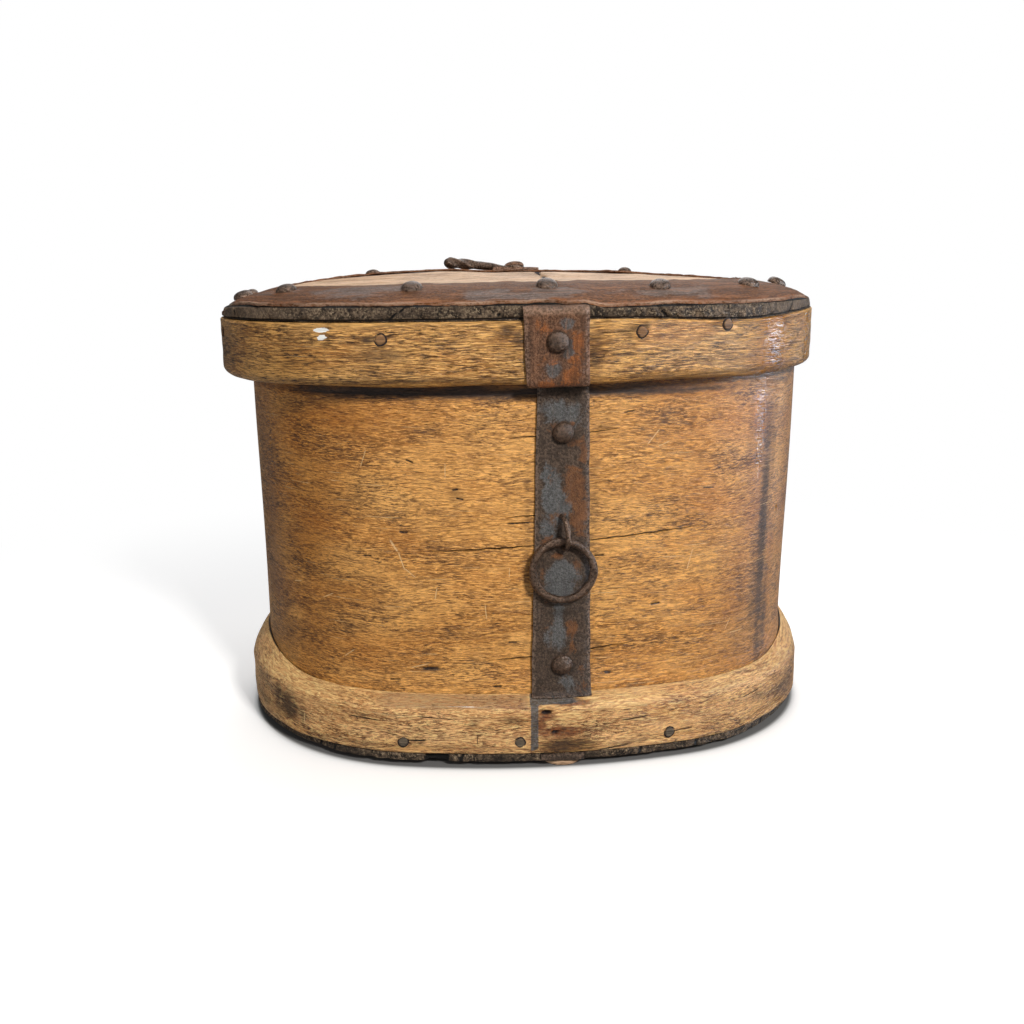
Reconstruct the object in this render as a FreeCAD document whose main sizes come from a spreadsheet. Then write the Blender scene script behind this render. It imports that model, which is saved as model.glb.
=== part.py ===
"""Oval bentwood tine box with iron mounts: hinged lid, pull ring and twisted lid handle.

Millimetres. +X runs along the box, +Y to its back (the hinge side) and +Z up.
The origin is on the ground, under the middle of the whole object.
"""
import FreeCAD, Part
import math
import os

import Sketcher

from FreeCAD import Placement, Rotation, Vector

os.makedirs("parts", exist_ok=True)
doc = FreeCAD.newDocument("tine_box")

# ---------------------------------------------------------------- driving dimensions
DIMENSIONS = {
    # the oval box: outer half sizes of the bent wall, and how far its long sides bow out
    # past the width of its round ends
    "half_length": 166.0,
    "half_width": 116.0,
    "side_bow": 6.0,
    "box_shift": 3.3,              # the wall's middle, from the middle of the whole object
    "wall_thickness": 5.0,
    "wall_height": 224.3,
    # bottom: a rabbeted board on four small feet, held by the base band
    "foot_height": 3.4,
    "foot_diameter": 22.0,
    "foot_inset": 11.5,
    "flange_thickness": 4.7,
    "flange_reach": 9.5,
    "bottom_plug_height": 12.0,
    "base_band_reach": 10.3,
    "base_band_height": 32.3,
    "base_band_rounding": 7.5,
    # lid: a bent band around a rabbeted, crowned board
    "lid_shift": -4.6,
    "lid_hollow_shift": -2.5,
    "lid_band_reach": 12.3,
    "lid_band_clearance": 4.0,
    "lid_band_height": 32.7,
    "lid_band_rounding": 5.5,
    "lid_overlap": 20.7,
    "lid_rest_gap": 0.3,
    "lid_flange_reach": 11.3,
    "lid_flange_thickness": 5.7,
    "crown_rise": 13.2,
    "crown_margin": 42.2,          # width of the crown's sloping margin
    # iron ring on the crown's sloping margin
    "ring_reach": 10.3,
    "ring_width": 39.7,
    "sheet_thickness": 1.5,
    "ring_nail_inset": 19.0,
    "ring_nail_length": 15.0,
    # straps
    "strap_thickness": 2.0,
    "front_strap_x": 8.4,
    "front_strap_top_width": 26.6,
    "front_strap_foot_width": 33.0,
    "front_strap_top_drop": 9.0,
    "lid_strap_x": 3.8,
    "lid_strap_width": 32.0,
    "lid_strap_tuck": 12.0,
    "hinge_x": 2.0,
    "hinge_strap_width": 32.0,
    "hinge_knuckle_width": 12.0,
    "under_strap_width": 24.0,
    "under_strap_length": 60.0,
    # fastenings
    "rivet_head_diameter": 11.6,
    "rivet_head_height": 4.2,
    "shank_diameter": 5.0,
    "rove_diameter": 10.0,
    "rove_thickness": 1.2,
    "peg_diameter": 5.6,
    "peg_length": 22.0,
    "lid_peg_length": 18.0,
    # hinge, pull ring and handle
    "pin_diameter": 5.0,
    "running_clearance": 0.05,
    "hinge_gap": 0.5,
    "pull_ring_radius": 16.35,
    "pull_ring_wire": 4.3,
    "staple_radius": 8.9,
    "staple_wire": 3.0,
    "staple_height": 124.3,
    "handle_length": 50.0,
    "handle_end_diameter": 8.4,
    "handle_neck_diameter": 3.4,
    "handle_rise": 5.6,            # degrees
    "handle_eye_diameter": 14.0,
    "handle_eye_thickness": 2.6,
    # root stitching of the wall's scarf joint
    "seam_x": -72.0,
    "stitch_length": 16.0,
    "stitch_width": 3.2,
    "stitch_thickness": 1.2,
    "stitch_pitch": 24.0,
    # clearances between pieces
    "fit_gap": 0.1,
    "seat_gap": 0.3,
}

sizes = doc.addObject("Spreadsheet::Sheet", "sizes")
for row, (alias, millimetres) in enumerate(DIMENSIONS.items(), start=1):
    sizes.set(f"A{row}", alias)
    sizes.set(f"B{row}", str(millimetres))
    sizes.setAlias(f"B{row}", alias)
doc.recompute()


def number(expression):
    """The value of an expression over the spreadsheet, in millimetres or degrees."""
    return float(sizes.evalExpression(str(expression)))


def size(alias):
    return number(f"sizes.{alias}")


# Heights and places that follow from the driving dimensions, as expressions.
BOX_X = "sizes.box_shift"
LID_X = "(sizes.box_shift + sizes.lid_shift)"
LID_HOLLOW_X = "(sizes.box_shift + sizes.lid_hollow_shift)"
BOARD_TOP = "(sizes.foot_height + sizes.flange_thickness)"
BASE_BAND_TOP = f"({BOARD_TOP} + sizes.base_band_height)"
WALL_TOP = f"({BOARD_TOP} + sizes.wall_height)"
LID_PLUG_BOTTOM = f"({WALL_TOP} + sizes.lid_rest_gap)"
LID_BAND_BOTTOM = f"({WALL_TOP} - sizes.lid_overlap)"
LID_BAND_TOP = f"({LID_BAND_BOTTOM} + sizes.lid_band_height)"
CROWN_EDGE = f"({LID_BAND_TOP} + sizes.lid_flange_thickness)"
CROWN_TOP = f"({CROWN_EDGE} + sizes.crown_rise)"
CROWN_MIDDLE_REACH = "(sizes.lid_flange_reach - sizes.crown_margin)"
RING_INNER_REACH = "(sizes.ring_reach - sizes.ring_width)"
STRAP_FACE = "(sizes.half_width + sizes.fit_gap + sizes.strap_thickness)"

MINUS_Y = Vector(0, -1, 0)
PLUS_Y = Vector(0, 1, 0)
PLUS_X = Vector(1, 0, 0)
PLUS_Z = Vector(0, 0, 1)


# ---------------------------------------------------------------- the four-arc oval
END_RADIUS = "(sizes.half_width - sizes.side_bow)"
CENTRE_X = f"(sizes.half_length - {END_RADIUS})"
CENTRE_Y = f"(({CENTRE_X}^2 + sizes.half_width^2 - {END_RADIUS}^2) / (2 * sizes.side_bow) - sizes.half_width)"


class Oval:
    """The box's oval, grown outwards by a reach: two round ends and two long flat arcs."""

    def __init__(self, reach, middle_x):
        self.reach = number(reach)
        self.middle_x = number(middle_x)
        self.end_centre = number(CENTRE_X)
        self.side_centre = number(CENTRE_Y)
        self.end_radius = number(END_RADIUS) + self.reach
        self.side_radius = self.side_centre + size("half_width") + self.reach
        self.join_angle = math.atan2(self.side_centre, self.end_centre)

    def arcs(self):
        """Centre, radius and angles of the right, back, left and front arcs."""
        turn = self.join_angle
        return (
            (Vector(self.end_centre, 0, 0), self.end_radius, -turn, turn),
            (Vector(0, -self.side_centre, 0), self.side_radius, turn, math.pi - turn),
            (Vector(-self.end_centre, 0, 0), self.end_radius, math.pi - turn, math.pi + turn),
            (Vector(0, self.side_centre, 0), self.side_radius, math.pi + turn, 2 * math.pi - turn),
        )

    def side_face(self, off_middle):
        """How far the long side's face is from the oval's long axis, at a distance off its middle."""
        return math.sqrt(self.side_radius ** 2 - off_middle ** 2) - self.side_centre

    def place(self, azimuth):
        """The point at an azimuth in degrees, seen from the oval's middle, and its outward normal."""
        ray = Vector(math.cos(math.radians(azimuth)), math.sin(math.radians(azimuth)), 0)
        for centre, radius, start, end in self.arcs():
            along = ray.dot(centre)
            distance = along + math.sqrt(along ** 2 - centre.dot(centre) + radius ** 2)
            outward = (ray * distance - centre).normalize()
            angle = math.atan2(outward.y, outward.x)
            middle = (start + end) / 2
            off_middle = (angle - middle + math.pi) % (2 * math.pi) - math.pi
            if abs(off_middle) <= (end - start) / 2 + 1e-9:
                return ray * distance + Vector(self.middle_x, 0, 0), outward
        raise ValueError("no arc of the oval meets this azimuth")


def draw_oval(sketch, reach):
    """Adds the oval, grown by a reach, to a sketch whose origin is the oval's middle."""
    oval = Oval(reach, "0")
    first = sketch.GeometryCount
    for centre, radius, start, end in oval.arcs():
        circle = Part.Circle(centre, PLUS_Z, radius)
        sketch.addGeometry(Part.ArcOfCircle(circle, start, end), False)
    right, back, left, front = range(first, first + 4)
    origin, centre_point = (-1, 1), 3

    def constrain(*terms, expression=None):
        index = sketch.addConstraint(Sketcher.Constraint(*terms))
        if expression:
            sketch.setExpression(f"Constraints[{index}]", expression)

    for arc, following in ((right, back), (back, left), (left, front), (front, right)):
        constrain("Tangent", arc, 2, following, 1)
    constrain("PointOnObject", right, centre_point, -1)
    constrain("PointOnObject", left, centre_point, -1)
    constrain("PointOnObject", back, centre_point, -2)
    constrain("DistanceX", *origin, right, centre_point, oval.end_centre, expression=CENTRE_X)
    constrain("DistanceX", left, centre_point, *origin, oval.end_centre, expression=CENTRE_X)
    constrain("DistanceY", back, centre_point, *origin, oval.side_centre, expression=CENTRE_Y)
    constrain("DistanceY", *origin, front, centre_point, oval.side_centre, expression=CENTRE_Y)
    constrain("Radius", right, oval.end_radius, expression=f"{END_RADIUS} + {reach}")


# ---------------------------------------------------------------- modelling helpers
def place(item, x="0", y="0", z="0"):
    """Binds an object's position to expressions."""
    for axis, expression in (("x", x), ("y", y), ("z", z)):
        item.setExpression(f"Placement.Base.{axis}", str(expression))


def new_body(name, x="0", y="0", z="0"):
    body = doc.addObject("PartDesign::Body", name)
    place(body, x, y, z)
    return body


def sketch_on(body, role, name, height=None, shift_x=None):
    """A sketch on one of the body's own origin planes, raised or shifted by expressions."""
    sketch = body.newObject("Sketcher::SketchObject", name)
    plane = next(item for item in body.Origin.OriginFeatures if item.Role == role)
    sketch.AttachmentSupport = (plane, "")
    sketch.MapMode = "FlatFace"
    if height:
        sketch.setExpression("AttachmentOffset.Base.z", height)
    if shift_x:
        sketch.setExpression("AttachmentOffset.Base.x", shift_x)
    return sketch


def pad(body, sketch, length):
    feature = body.newObject("PartDesign::Pad", f"{sketch.Name}_pad")
    feature.Profile = sketch
    feature.setExpression("Length", length)
    sketch.Visibility = False
    doc.recompute()
    return feature


def pocket(body, sketch, depth, reversed_cut=False):
    """A pocket, turned round if it would otherwise miss the solid."""
    before = body.Shape.Volume
    feature = body.newObject("PartDesign::Pocket", f"{sketch.Name}_pocket")
    feature.Profile = sketch
    feature.setExpression("Length", depth)
    feature.Reversed = reversed_cut
    doc.recompute()
    if body.Shape.Volume > before - 1e-6:
        feature.Reversed = not reversed_cut
        doc.recompute()
    if body.Shape.Volume > before - 1e-6:
        raise RuntimeError(f"{feature.Name} cuts nothing")
    return feature


def round_edges(body, name, radius, chosen):
    """Fillets the edges of the body's tip that the test picks."""
    tip = body.Tip
    names = [f"Edge{index}" for index, edge in enumerate(tip.Shape.Edges, start=1) if chosen(edge)]
    feature = body.newObject("PartDesign::Fillet", name)
    if not names:
        raise RuntimeError(f"{name} finds no edges")
    feature.Base = (tip, names)
    feature.setExpression("Radius", radius)
    doc.recompute()
    return feature


def edge_at_height(height, reach):
    """A test for the edges of an oval rim: at one height in its body, and on one reach of the oval."""
    level = number(height)
    oval = Oval(reach, "0")
    radii = (oval.end_radius, oval.side_radius)

    def chosen(edge):
        box = edge.BoundBox
        flat = abs(box.ZMin - level) < 1e-4 and abs(box.ZMax - level) < 1e-4
        round_edge = hasattr(edge.Curve, "Radius")
        return flat and round_edge and min(abs(edge.Curve.Radius - radius) for radius in radii) < 1e-4

    return chosen


def feature_from(name, shape):
    """A Part::Feature that holds a shape worked out from the spreadsheet."""
    item = doc.addObject("Part::Feature", name)
    item.Shape = shape
    return item


def group(name, shapes):
    """Separate solids of one kind in one object."""
    return feature_from(name, Part.makeCompound(shapes))


def cut(name, base, *tools):
    """The base with the tools' shapes taken out of it."""
    result = base
    for index, tool in enumerate(tools, start=1):
        step = doc.addObject("Part::Cut", name if index == len(tools) else f"{name}_step_{index}")
        step.Base = result
        step.Tool = tool
        result = step
    doc.recompute()
    return result


NODES = {}


def node(label, item):
    """Registers an object as one sub-part, under the name of its file."""
    item.Label = label
    NODES[label] = item
    return item


def rod(diameter, length, start, direction):
    return Part.makeCylinder(diameter / 2, length, start, direction)


def domed_nail(shank_length, seat, outward, head_diameter, head_height):
    """A hand-forged nail or rivet: a domed head on its seat, and a shank that points inwards."""
    half = head_diameter / 2
    ball_radius = (half ** 2 + head_height ** 2) / (2 * head_height)
    ball = Part.makeSphere(ball_radius, Vector(0, 0, head_height - ball_radius))
    cap = ball.common(Part.makeCylinder(head_diameter, head_height))
    nail = cap.fuse(Part.makeCylinder(size("shank_diameter") / 2, shank_length, Vector(), Vector(0, 0, -1)))
    nail = nail.removeSplitter()
    nail.Placement = Placement(seat, Rotation(PLUS_Z, outward))
    return nail


def head_nail(shank_length, seat, outward):
    return domed_nail(shank_length, seat, outward, size("rivet_head_diameter"), size("rivet_head_height"))


def rounded_line(corners, radii):
    """The lines and arcs along a bent line's corners, each inner corner rounded by its radius."""
    edges = []
    start = corners[0]
    for before, corner, after, radius in zip(corners, corners[1:], corners[2:], radii):
        incoming = (corner - before).normalize()
        outgoing = (after - corner).normalize()
        half_turn = incoming.getAngle(outgoing) / 2
        trim = radius * math.tan(half_turn)
        arc_start, arc_end = corner - incoming * trim, corner + outgoing * trim
        inward = (outgoing - incoming).normalize()
        arc_middle = corner + inward * (radius / math.cos(half_turn) - radius)
        edges.append(Part.LineSegment(start, arc_start).toShape())
        edges.append(Part.Arc(arc_start, arc_middle, arc_end).toShape())
        start = arc_end
    edges.append(Part.LineSegment(start, corners[-1]).toShape())
    return edges


def bent_strip(corners, radii, thickness, width, middle_x):
    """A strip of sheet bent along a line in the YZ plane, given by the corners of its inner face.

    Seen from +X the sheet lies to the left of the line, or to its right if the thickness is negative.
    """
    inner = [Vector(0, y, z) for y, z in corners]
    sides = [PLUS_X.cross(end - start).normalize() for start, end in zip(inner, inner[1:])]
    outer = [inner[0] + sides[0] * thickness]
    for corner, side, following in zip(inner[1:], sides, sides[1:]):
        outer.append(corner + (side + following) * (thickness / (1 + side.dot(following))))
    outer.append(inner[-1] + sides[-1] * thickness)
    edges = rounded_line(inner, radii) + rounded_line(outer, [radius + abs(thickness) for radius in radii])
    edges.append(Part.LineSegment(inner[0], outer[0]).toShape())
    edges.append(Part.LineSegment(inner[-1], outer[-1]).toShape())
    outline = Part.Wire(Part.__sortEdges__(edges))
    strip = Part.Face(outline).extrude(PLUS_X * width)
    strip.translate(PLUS_X * (middle_x - width / 2))
    return strip


# ---------------------------------------------------------------- bottom board and feet
def make_feet():
    """Four low round feet: one under the front edge, the others set in under the rim."""
    reach_x = size("half_length") + size("base_band_reach") - 2 * size("foot_inset")
    reach_y = size("half_width") + size("base_band_reach") - size("foot_inset")
    middle_x = size("box_shift")
    front_x = middle_x + size("front_strap_x")
    places = ((front_x, -reach_y), (front_x, reach_y), (middle_x - reach_x, 0), (middle_x + reach_x, 0))
    radius, height = size("foot_diameter") / 2, size("foot_height")
    return group("foot_discs", [Part.makeCylinder(radius, height, Vector(x, y, 0)) for x, y in places])


def make_under_strap():
    """The end of the strap under the box, let into the board and turned up over its edge."""
    sheet, rim = size("sheet_thickness"), size("half_width") + size("flange_reach")
    underside, top = size("foot_height"), number(BOARD_TOP) - size("seat_gap")
    inner_end = -rim + size("under_strap_length")
    corners = ((inner_end, underside + sheet), (-rim, underside + sheet), (-rim, top))
    middle_x = size("box_shift") + size("front_strap_x")
    strip = bent_strip(corners, (0.4,), sheet, size("under_strap_width"), middle_x)
    return feature_from("under_strap_sheet", strip)


def make_bottom_board_blank():
    """The board's rim under the wall and its plug inside the wall."""
    body = new_body("bottom_board_blank", x=BOX_X, z="sizes.foot_height")
    rim = sketch_on(body, "XY_Plane", "bottom_rim")
    draw_oval(rim, "sizes.flange_reach")
    pad(body, rim, "sizes.flange_thickness")
    plug = sketch_on(body, "XY_Plane", "bottom_plug", height="sizes.flange_thickness")
    draw_oval(plug, "(-sizes.wall_thickness - sizes.fit_gap)")
    pad(body, plug, "sizes.bottom_plug_height")
    return body


def make_base_band_blank():
    """The bent band around the foot of the wall, rounded along its top."""
    body = new_body("base_band_blank", x=BOX_X, z=BOARD_TOP)
    ring = sketch_on(body, "XY_Plane", "base_band_ring")
    draw_oval(ring, "sizes.base_band_reach")
    draw_oval(ring, "sizes.fit_gap")
    pad(body, ring, "sizes.base_band_height")
    outer_rim = edge_at_height("sizes.base_band_height", "sizes.base_band_reach")
    round_edges(body, "base_band_top_round", "sizes.base_band_rounding", outer_rim)
    outer_foot = edge_at_height("0", "sizes.base_band_reach")
    round_edges(body, "base_band_foot_round", "sizes.base_band_rounding / 4", outer_foot)
    return body


BASE_PEG_AZIMUTHS = (-124, -97, -60, 12, 52, 78, 112, 150, 178)
EMPTY_PEG_HOLE_AZIMUTH = -29
PEG_HEIGHT = f"({BOARD_TOP} + sizes.bottom_plug_height * 0.6)"


def peg_rods(azimuths, reach, middle_x, height, length):
    """Round pegs driven in square to an oval's face, each from its outer end inwards."""
    oval = Oval(reach, middle_x)
    rods = []
    for azimuth in azimuths:
        point, outward = oval.place(azimuth)
        point.z = number(height)
        rods.append(rod(size("peg_diameter"), number(length), point, outward * -1))
    return rods


def strap_nail_holes():
    """Two empty nail holes in the base band, where the lost lower end of the strap was held."""
    hole, depth = size("shank_diameter") * 0.8, size("base_band_reach") * 0.7
    face = -size("half_width") - size("base_band_reach") - size("fit_gap")
    middle_x = size("box_shift") + size("front_strap_x")
    band = size("base_band_height")
    places = ((middle_x - 0.30 * size("foot_diameter"), number(BOARD_TOP) + 0.66 * band),
              (middle_x - 0.16 * size("foot_diameter"), number(BOARD_TOP) + 0.42 * band))
    return [rod(hole, depth, Vector(x, face, z), PLUS_Y) for x, z in places]


# ---------------------------------------------------------------- bent wall and its stitching
STITCH_COUNT = 7


def make_wall_blank():
    """The bent wall, with slots for the root stitches beside its scarf joint."""
    body = new_body("wall_blank", x=BOX_X, z=BOARD_TOP)
    ring = sketch_on(body, "XY_Plane", "wall_ring")
    draw_oval(ring, "0")
    draw_oval(ring, "(-sizes.wall_thickness)")
    pad(body, ring, "sizes.wall_height")
    return body


def make_stitches():
    """Root stitches: each loops round the wall through two slots, across the scarf joint."""
    outside, inside = Oval("sizes.fit_gap", BOX_X), Oval("(-sizes.wall_thickness - sizes.fit_gap)", BOX_X)
    long_side, width, thick = size("stitch_length"), size("stitch_width"), size("stitch_thickness")
    depth = outside.reach - inside.reach
    first = number(BASE_BAND_TOP) + size("stitch_pitch") / 2
    azimuth = math.degrees(math.atan2(size("half_width"), size("seam_x")))
    point, outward = outside.place(azimuth)
    loops = []
    for index in range(STITCH_COUNT):
        outer_corner = Vector(-long_side / 2, -depth - thick, -width / 2)
        hollow_corner = Vector(thick - long_side / 2, -depth, -width / 2)
        outer = Part.makeBox(long_side, depth + 2 * thick, width, outer_corner)
        hollow = Part.makeBox(long_side - 2 * thick, depth, width, hollow_corner)
        loop = outer.cut(hollow)
        seat = Vector(point.x, point.y, first + index * size("stitch_pitch"))
        loop.Placement = Placement(seat, Rotation(PLUS_Y, outward))
        loops.append(loop)
    return group("stitch_loops", loops)


# ---------------------------------------------------------------- lid wood
def make_lid_band_blank():
    """The lid's bent band: its hollow is set off, so it is thickest at the left end."""
    body = new_body("lid_band_blank", x=LID_X, z=LID_BAND_BOTTOM)
    rim = sketch_on(body, "XY_Plane", "lid_band_outside")
    draw_oval(rim, "sizes.lid_band_reach")
    pad(body, rim, "sizes.lid_band_height")
    outer_foot = edge_at_height("0", "sizes.lid_band_reach")
    round_edges(body, "lid_band_foot_round", "sizes.lid_band_rounding", outer_foot)
    outer_rim = edge_at_height("sizes.lid_band_height", "sizes.lid_band_reach")
    round_edges(body, "lid_band_top_round", "sizes.lid_band_rounding / 4", outer_rim)
    hollow = sketch_on(body, "XY_Plane", "lid_band_hollow", shift_x="sizes.lid_hollow_shift - sizes.lid_shift")
    draw_oval(hollow, "sizes.lid_band_clearance")
    pocket(body, hollow, "sizes.lid_band_height + 1", reversed_cut=True)
    return body


def make_lid_board_blank():
    """The lid board's plug inside the band and its rim on top of the band."""
    body = new_body("lid_board_blank", x=LID_X, z=LID_PLUG_BOTTOM)
    plug = sketch_on(body, "XY_Plane", "lid_plug", shift_x="sizes.lid_hollow_shift - sizes.lid_shift")
    draw_oval(plug, "(sizes.lid_band_clearance - sizes.fit_gap)")
    plug_height = f"{LID_BAND_TOP} - {LID_PLUG_BOTTOM}"
    pad(body, plug, plug_height)
    rim = sketch_on(body, "XY_Plane", "lid_rim", height=plug_height)
    draw_oval(rim, "sizes.lid_flange_reach")
    pad(body, rim, "sizes.lid_flange_thickness + sizes.crown_rise")
    return body


def swept_ring(profile, middle_x):
    """A ring of constant section round the oval, from a profile of (reach, height) corners."""
    sectors = []
    for centre, radius, start, end in Oval("0", middle_x).arcs():
        spoke = Vector(math.cos(start), math.sin(start), 0)
        corners = [centre + spoke * (radius + reach) + PLUS_Z * height for reach, height in profile]
        face = Part.Face(Part.makePolygon(corners + corners[:1]))
        sectors.append(face.revolve(centre, PLUS_Z, math.degrees(end - start)))
    ring = sectors[0].fuse(sectors[1:]).removeSplitter()
    ring.translate(PLUS_X * number(middle_x))
    return ring


def crown_height(reach):
    """The height of the crown's sloping margin at a reach of the oval."""
    share = (size("lid_flange_reach") - reach) / size("crown_margin")
    return number(CROWN_EDGE) + share * size("crown_rise")


def crown_normal(outward):
    """The normal of the crown's margin where the oval's own outward normal is given."""
    return (outward * size("crown_rise") + PLUS_Z * size("crown_margin")).normalize()


def make_margin_shavings():
    """What is planed off the lid board's top to leave its sloping margin."""
    over, above = size("lid_flange_reach") + size("lid_band_reach"), 2 * size("crown_rise")
    inner = number(CROWN_MIDDLE_REACH) - size("crown_margin")
    top = number(CROWN_EDGE) + above
    profile = ((over, crown_height(over)), (over, top), (inner, top), (inner, crown_height(inner)))
    return feature_from("margin_shavings", swept_ring(profile, LID_X))


# ---------------------------------------------------------------- iron on the lid
def make_iron_ring():
    """The sheet iron ring on the crown's sloping margin."""
    outer, inner = size("ring_reach"), number(RING_INNER_REACH)
    low, high = size("fit_gap"), size("fit_gap") + size("sheet_thickness")
    profile = (
        (outer, crown_height(outer) + low),
        (outer, crown_height(outer) + high),
        (inner, crown_height(inner) + high),
        (inner, crown_height(inner) + low),
    )
    return feature_from("iron_ring_sheet", swept_ring(profile, LID_X))


RING_NAIL_AZIMUTHS = (-153, -122, -87, -57, -33, -13, 10, 47, 67, 111, 137, 146, 176, -174)


def make_ring_nails():
    """Domed nails round the iron ring, square to the crown's margin and unevenly spaced."""
    reach = size("ring_reach") - size("ring_nail_inset")
    line = Oval(reach, LID_X)
    nails = []
    for azimuth in RING_NAIL_AZIMUTHS:
        point, outward = line.place(azimuth)
        point.z = crown_height(reach) + size("sheet_thickness") + size("fit_gap")
        nails.append(head_nail(size("ring_nail_length"), point, crown_normal(outward)))
    return group("ring_nail_set", nails)


def make_lid_front_strap():
    """The lid's front strap: tucked under the iron ring, down the band and in under its edge."""
    gap, sheet, tuck = size("fit_gap"), size("strap_thickness"), size("lid_strap_tuck")
    band_face = -(size("half_width") + size("lid_band_reach") + gap)
    rim_y = -(size("half_width") + size("lid_flange_reach"))
    rim = Oval("sizes.lid_flange_reach", LID_X)
    strap_edge = size("lid_strap_x") - size("lid_shift") + size("lid_strap_width") / 2
    edge_sag = rim.side_face(0) - rim.side_face(strap_edge)
    slope = size("crown_rise") / size("crown_margin")
    let_in = sheet * math.hypot(1, slope) + edge_sag * slope
    at_rim = crown_height(size("lid_flange_reach")) - let_in
    foot = number(LID_BAND_BOTTOM) - gap
    inner_end = -(size("half_width") + size("lid_band_clearance") + gap)
    corners = (
        (rim_y + tuck, at_rim + slope * tuck),
        (band_face, at_rim + slope * (band_face - rim_y)),
        (band_face, foot),
        (inner_end, foot),
    )
    radii = (sheet / 2, size("lid_band_rounding") / 2)
    middle_x = size("box_shift") + size("lid_strap_x")
    return bent_strip(corners, radii, -sheet, size("lid_strap_width"), middle_x)


def lid_strap_nail(back, middle_x):
    """The nail through a lid strap into the middle of the lid band."""
    side = 1 if back else -1
    face = side * (size("half_width") + size("lid_band_reach") + size("fit_gap") + size("strap_thickness"))
    height = number(LID_BAND_BOTTOM) + 0.68 * size("lid_band_height")
    length = size("lid_band_reach") + size("strap_thickness")
    return head_nail(length, Vector(middle_x, face, height), Vector(0, side, 0))


# ---------------------------------------------------------------- hinge
KNUCKLE_RADIUS = "(sizes.pin_diameter / 2 + sizes.running_clearance + sizes.strap_thickness)"
AXIS_Y = f"(sizes.half_width + {KNUCKLE_RADIUS} + sizes.hinge_gap)"
AXIS_Z = f"({LID_BAND_BOTTOM} - sizes.hinge_gap - {KNUCKLE_RADIUS})"
HINGE_X = "(sizes.box_shift + sizes.hinge_x)"


def hinge_bar(radius, width):
    """A round bar along the hinge's axis, centred on the hinge."""
    start = Vector(number(HINGE_X) - width / 2, number(AXIS_Y), number(AXIS_Z))
    return Part.makeCylinder(radius, width, start, PLUS_X)


def hinge_block(width, y_low, y_high, z_low, z_high):
    corner = Vector(number(HINGE_X) - width / 2, y_low, z_low)
    return Part.makeBox(width, y_high - y_low, z_high - z_low, corner)


def pin_bore():
    return hinge_bar(size("pin_diameter") / 2 + size("running_clearance"), 3 * size("hinge_strap_width"))


def handle_seat():
    """Where the handle's eye lies on the hinge strap, and the normal there."""
    reach = number(RING_INNER_REACH) + size("handle_eye_diameter") / 2 + size("strap_thickness")
    lift = size("sheet_thickness") + size("strap_thickness") + 2 * size("fit_gap")
    seat = Vector(number(HINGE_X), size("half_width") + reach, crown_height(reach) + lift)
    return seat, crown_normal(PLUS_Y)


def make_lid_hinge_strap():
    """From the iron ring's inner edge over the back of the lid, in under the band and round the pin."""
    gap, sheet = size("fit_gap"), size("strap_thickness")
    lift = size("sheet_thickness") + 2 * gap
    band_face = size("half_width") + size("lid_band_reach") + gap
    inner_y = size("half_width") + number(RING_INNER_REACH)
    rim_y = size("half_width") + size("lid_flange_reach")
    inner_z = crown_height(number(RING_INNER_REACH)) + lift
    rim_z = crown_height(size("lid_flange_reach")) + lift
    slope = (rim_z - inner_z) / (rim_y - inner_y)
    foot = number(LID_BAND_BOTTOM) - gap
    corners = (
        (inner_y, inner_z),
        (band_face, rim_z + slope * (band_face - rim_y)),
        (band_face, foot),
        (number(AXIS_Y), foot),
    )
    radii = (sheet / 2, size("lid_band_rounding") / 2)
    strip = bent_strip(corners, radii, sheet, size("hinge_strap_width"), number(HINGE_X))
    knuckle_radius, knuckle_width = number(KNUCKLE_RADIUS), size("hinge_knuckle_width")
    clear_y = number(AXIS_Y) + knuckle_radius + size("hinge_gap")
    width = size("hinge_strap_width")
    beside = hinge_block(2 * width, number(AXIS_Y) - width, clear_y, foot - width, foot + gap / 2)
    beside = beside.cut(hinge_block(knuckle_width, -2 * width, 2 * size("half_width"), 0, 2 * foot))
    strap = strip.cut(beside).fuse(hinge_bar(knuckle_radius, knuckle_width)).cut(pin_bore())
    return strap.removeSplitter()


def make_body_hinge_strap():
    """The strap up the back of the wall, with a knuckle on each side of the lid's."""
    gap, sheet, width = size("fit_gap"), size("strap_thickness"), size("hinge_strap_width")
    wall_face = size("half_width") + gap
    low = number(BASE_BAND_TOP) + size("seat_gap")
    leaf = hinge_block(width, wall_face, wall_face + sheet, low, number(AXIS_Z))
    knuckle_radius = number(KNUCKLE_RADIUS)
    notch_width = size("hinge_knuckle_width") + 2 * size("seat_gap")
    notch_low = number(AXIS_Z) - knuckle_radius - size("hinge_gap")
    notch = hinge_block(notch_width, 0, 2 * wall_face, notch_low, notch_low + width)
    strap = leaf.fuse(hinge_bar(knuckle_radius, width)).cut(notch).cut(pin_bore())
    return strap.removeSplitter()


def make_hinge_pin():
    """The hinge pin, with its two ends hammered over."""
    pin_radius, width = size("pin_diameter") / 2, size("hinge_strap_width")
    head = size("strap_thickness")
    pin = hinge_bar(pin_radius, width + 2 * size("seat_gap"))
    for side in (-1, 1):
        end = hinge_bar(pin_radius + head / 2, head)
        end.translate(PLUS_X * side * (width / 2 + size("seat_gap") + head / 2))
        pin = pin.fuse(end)
    return pin.removeSplitter()


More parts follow.
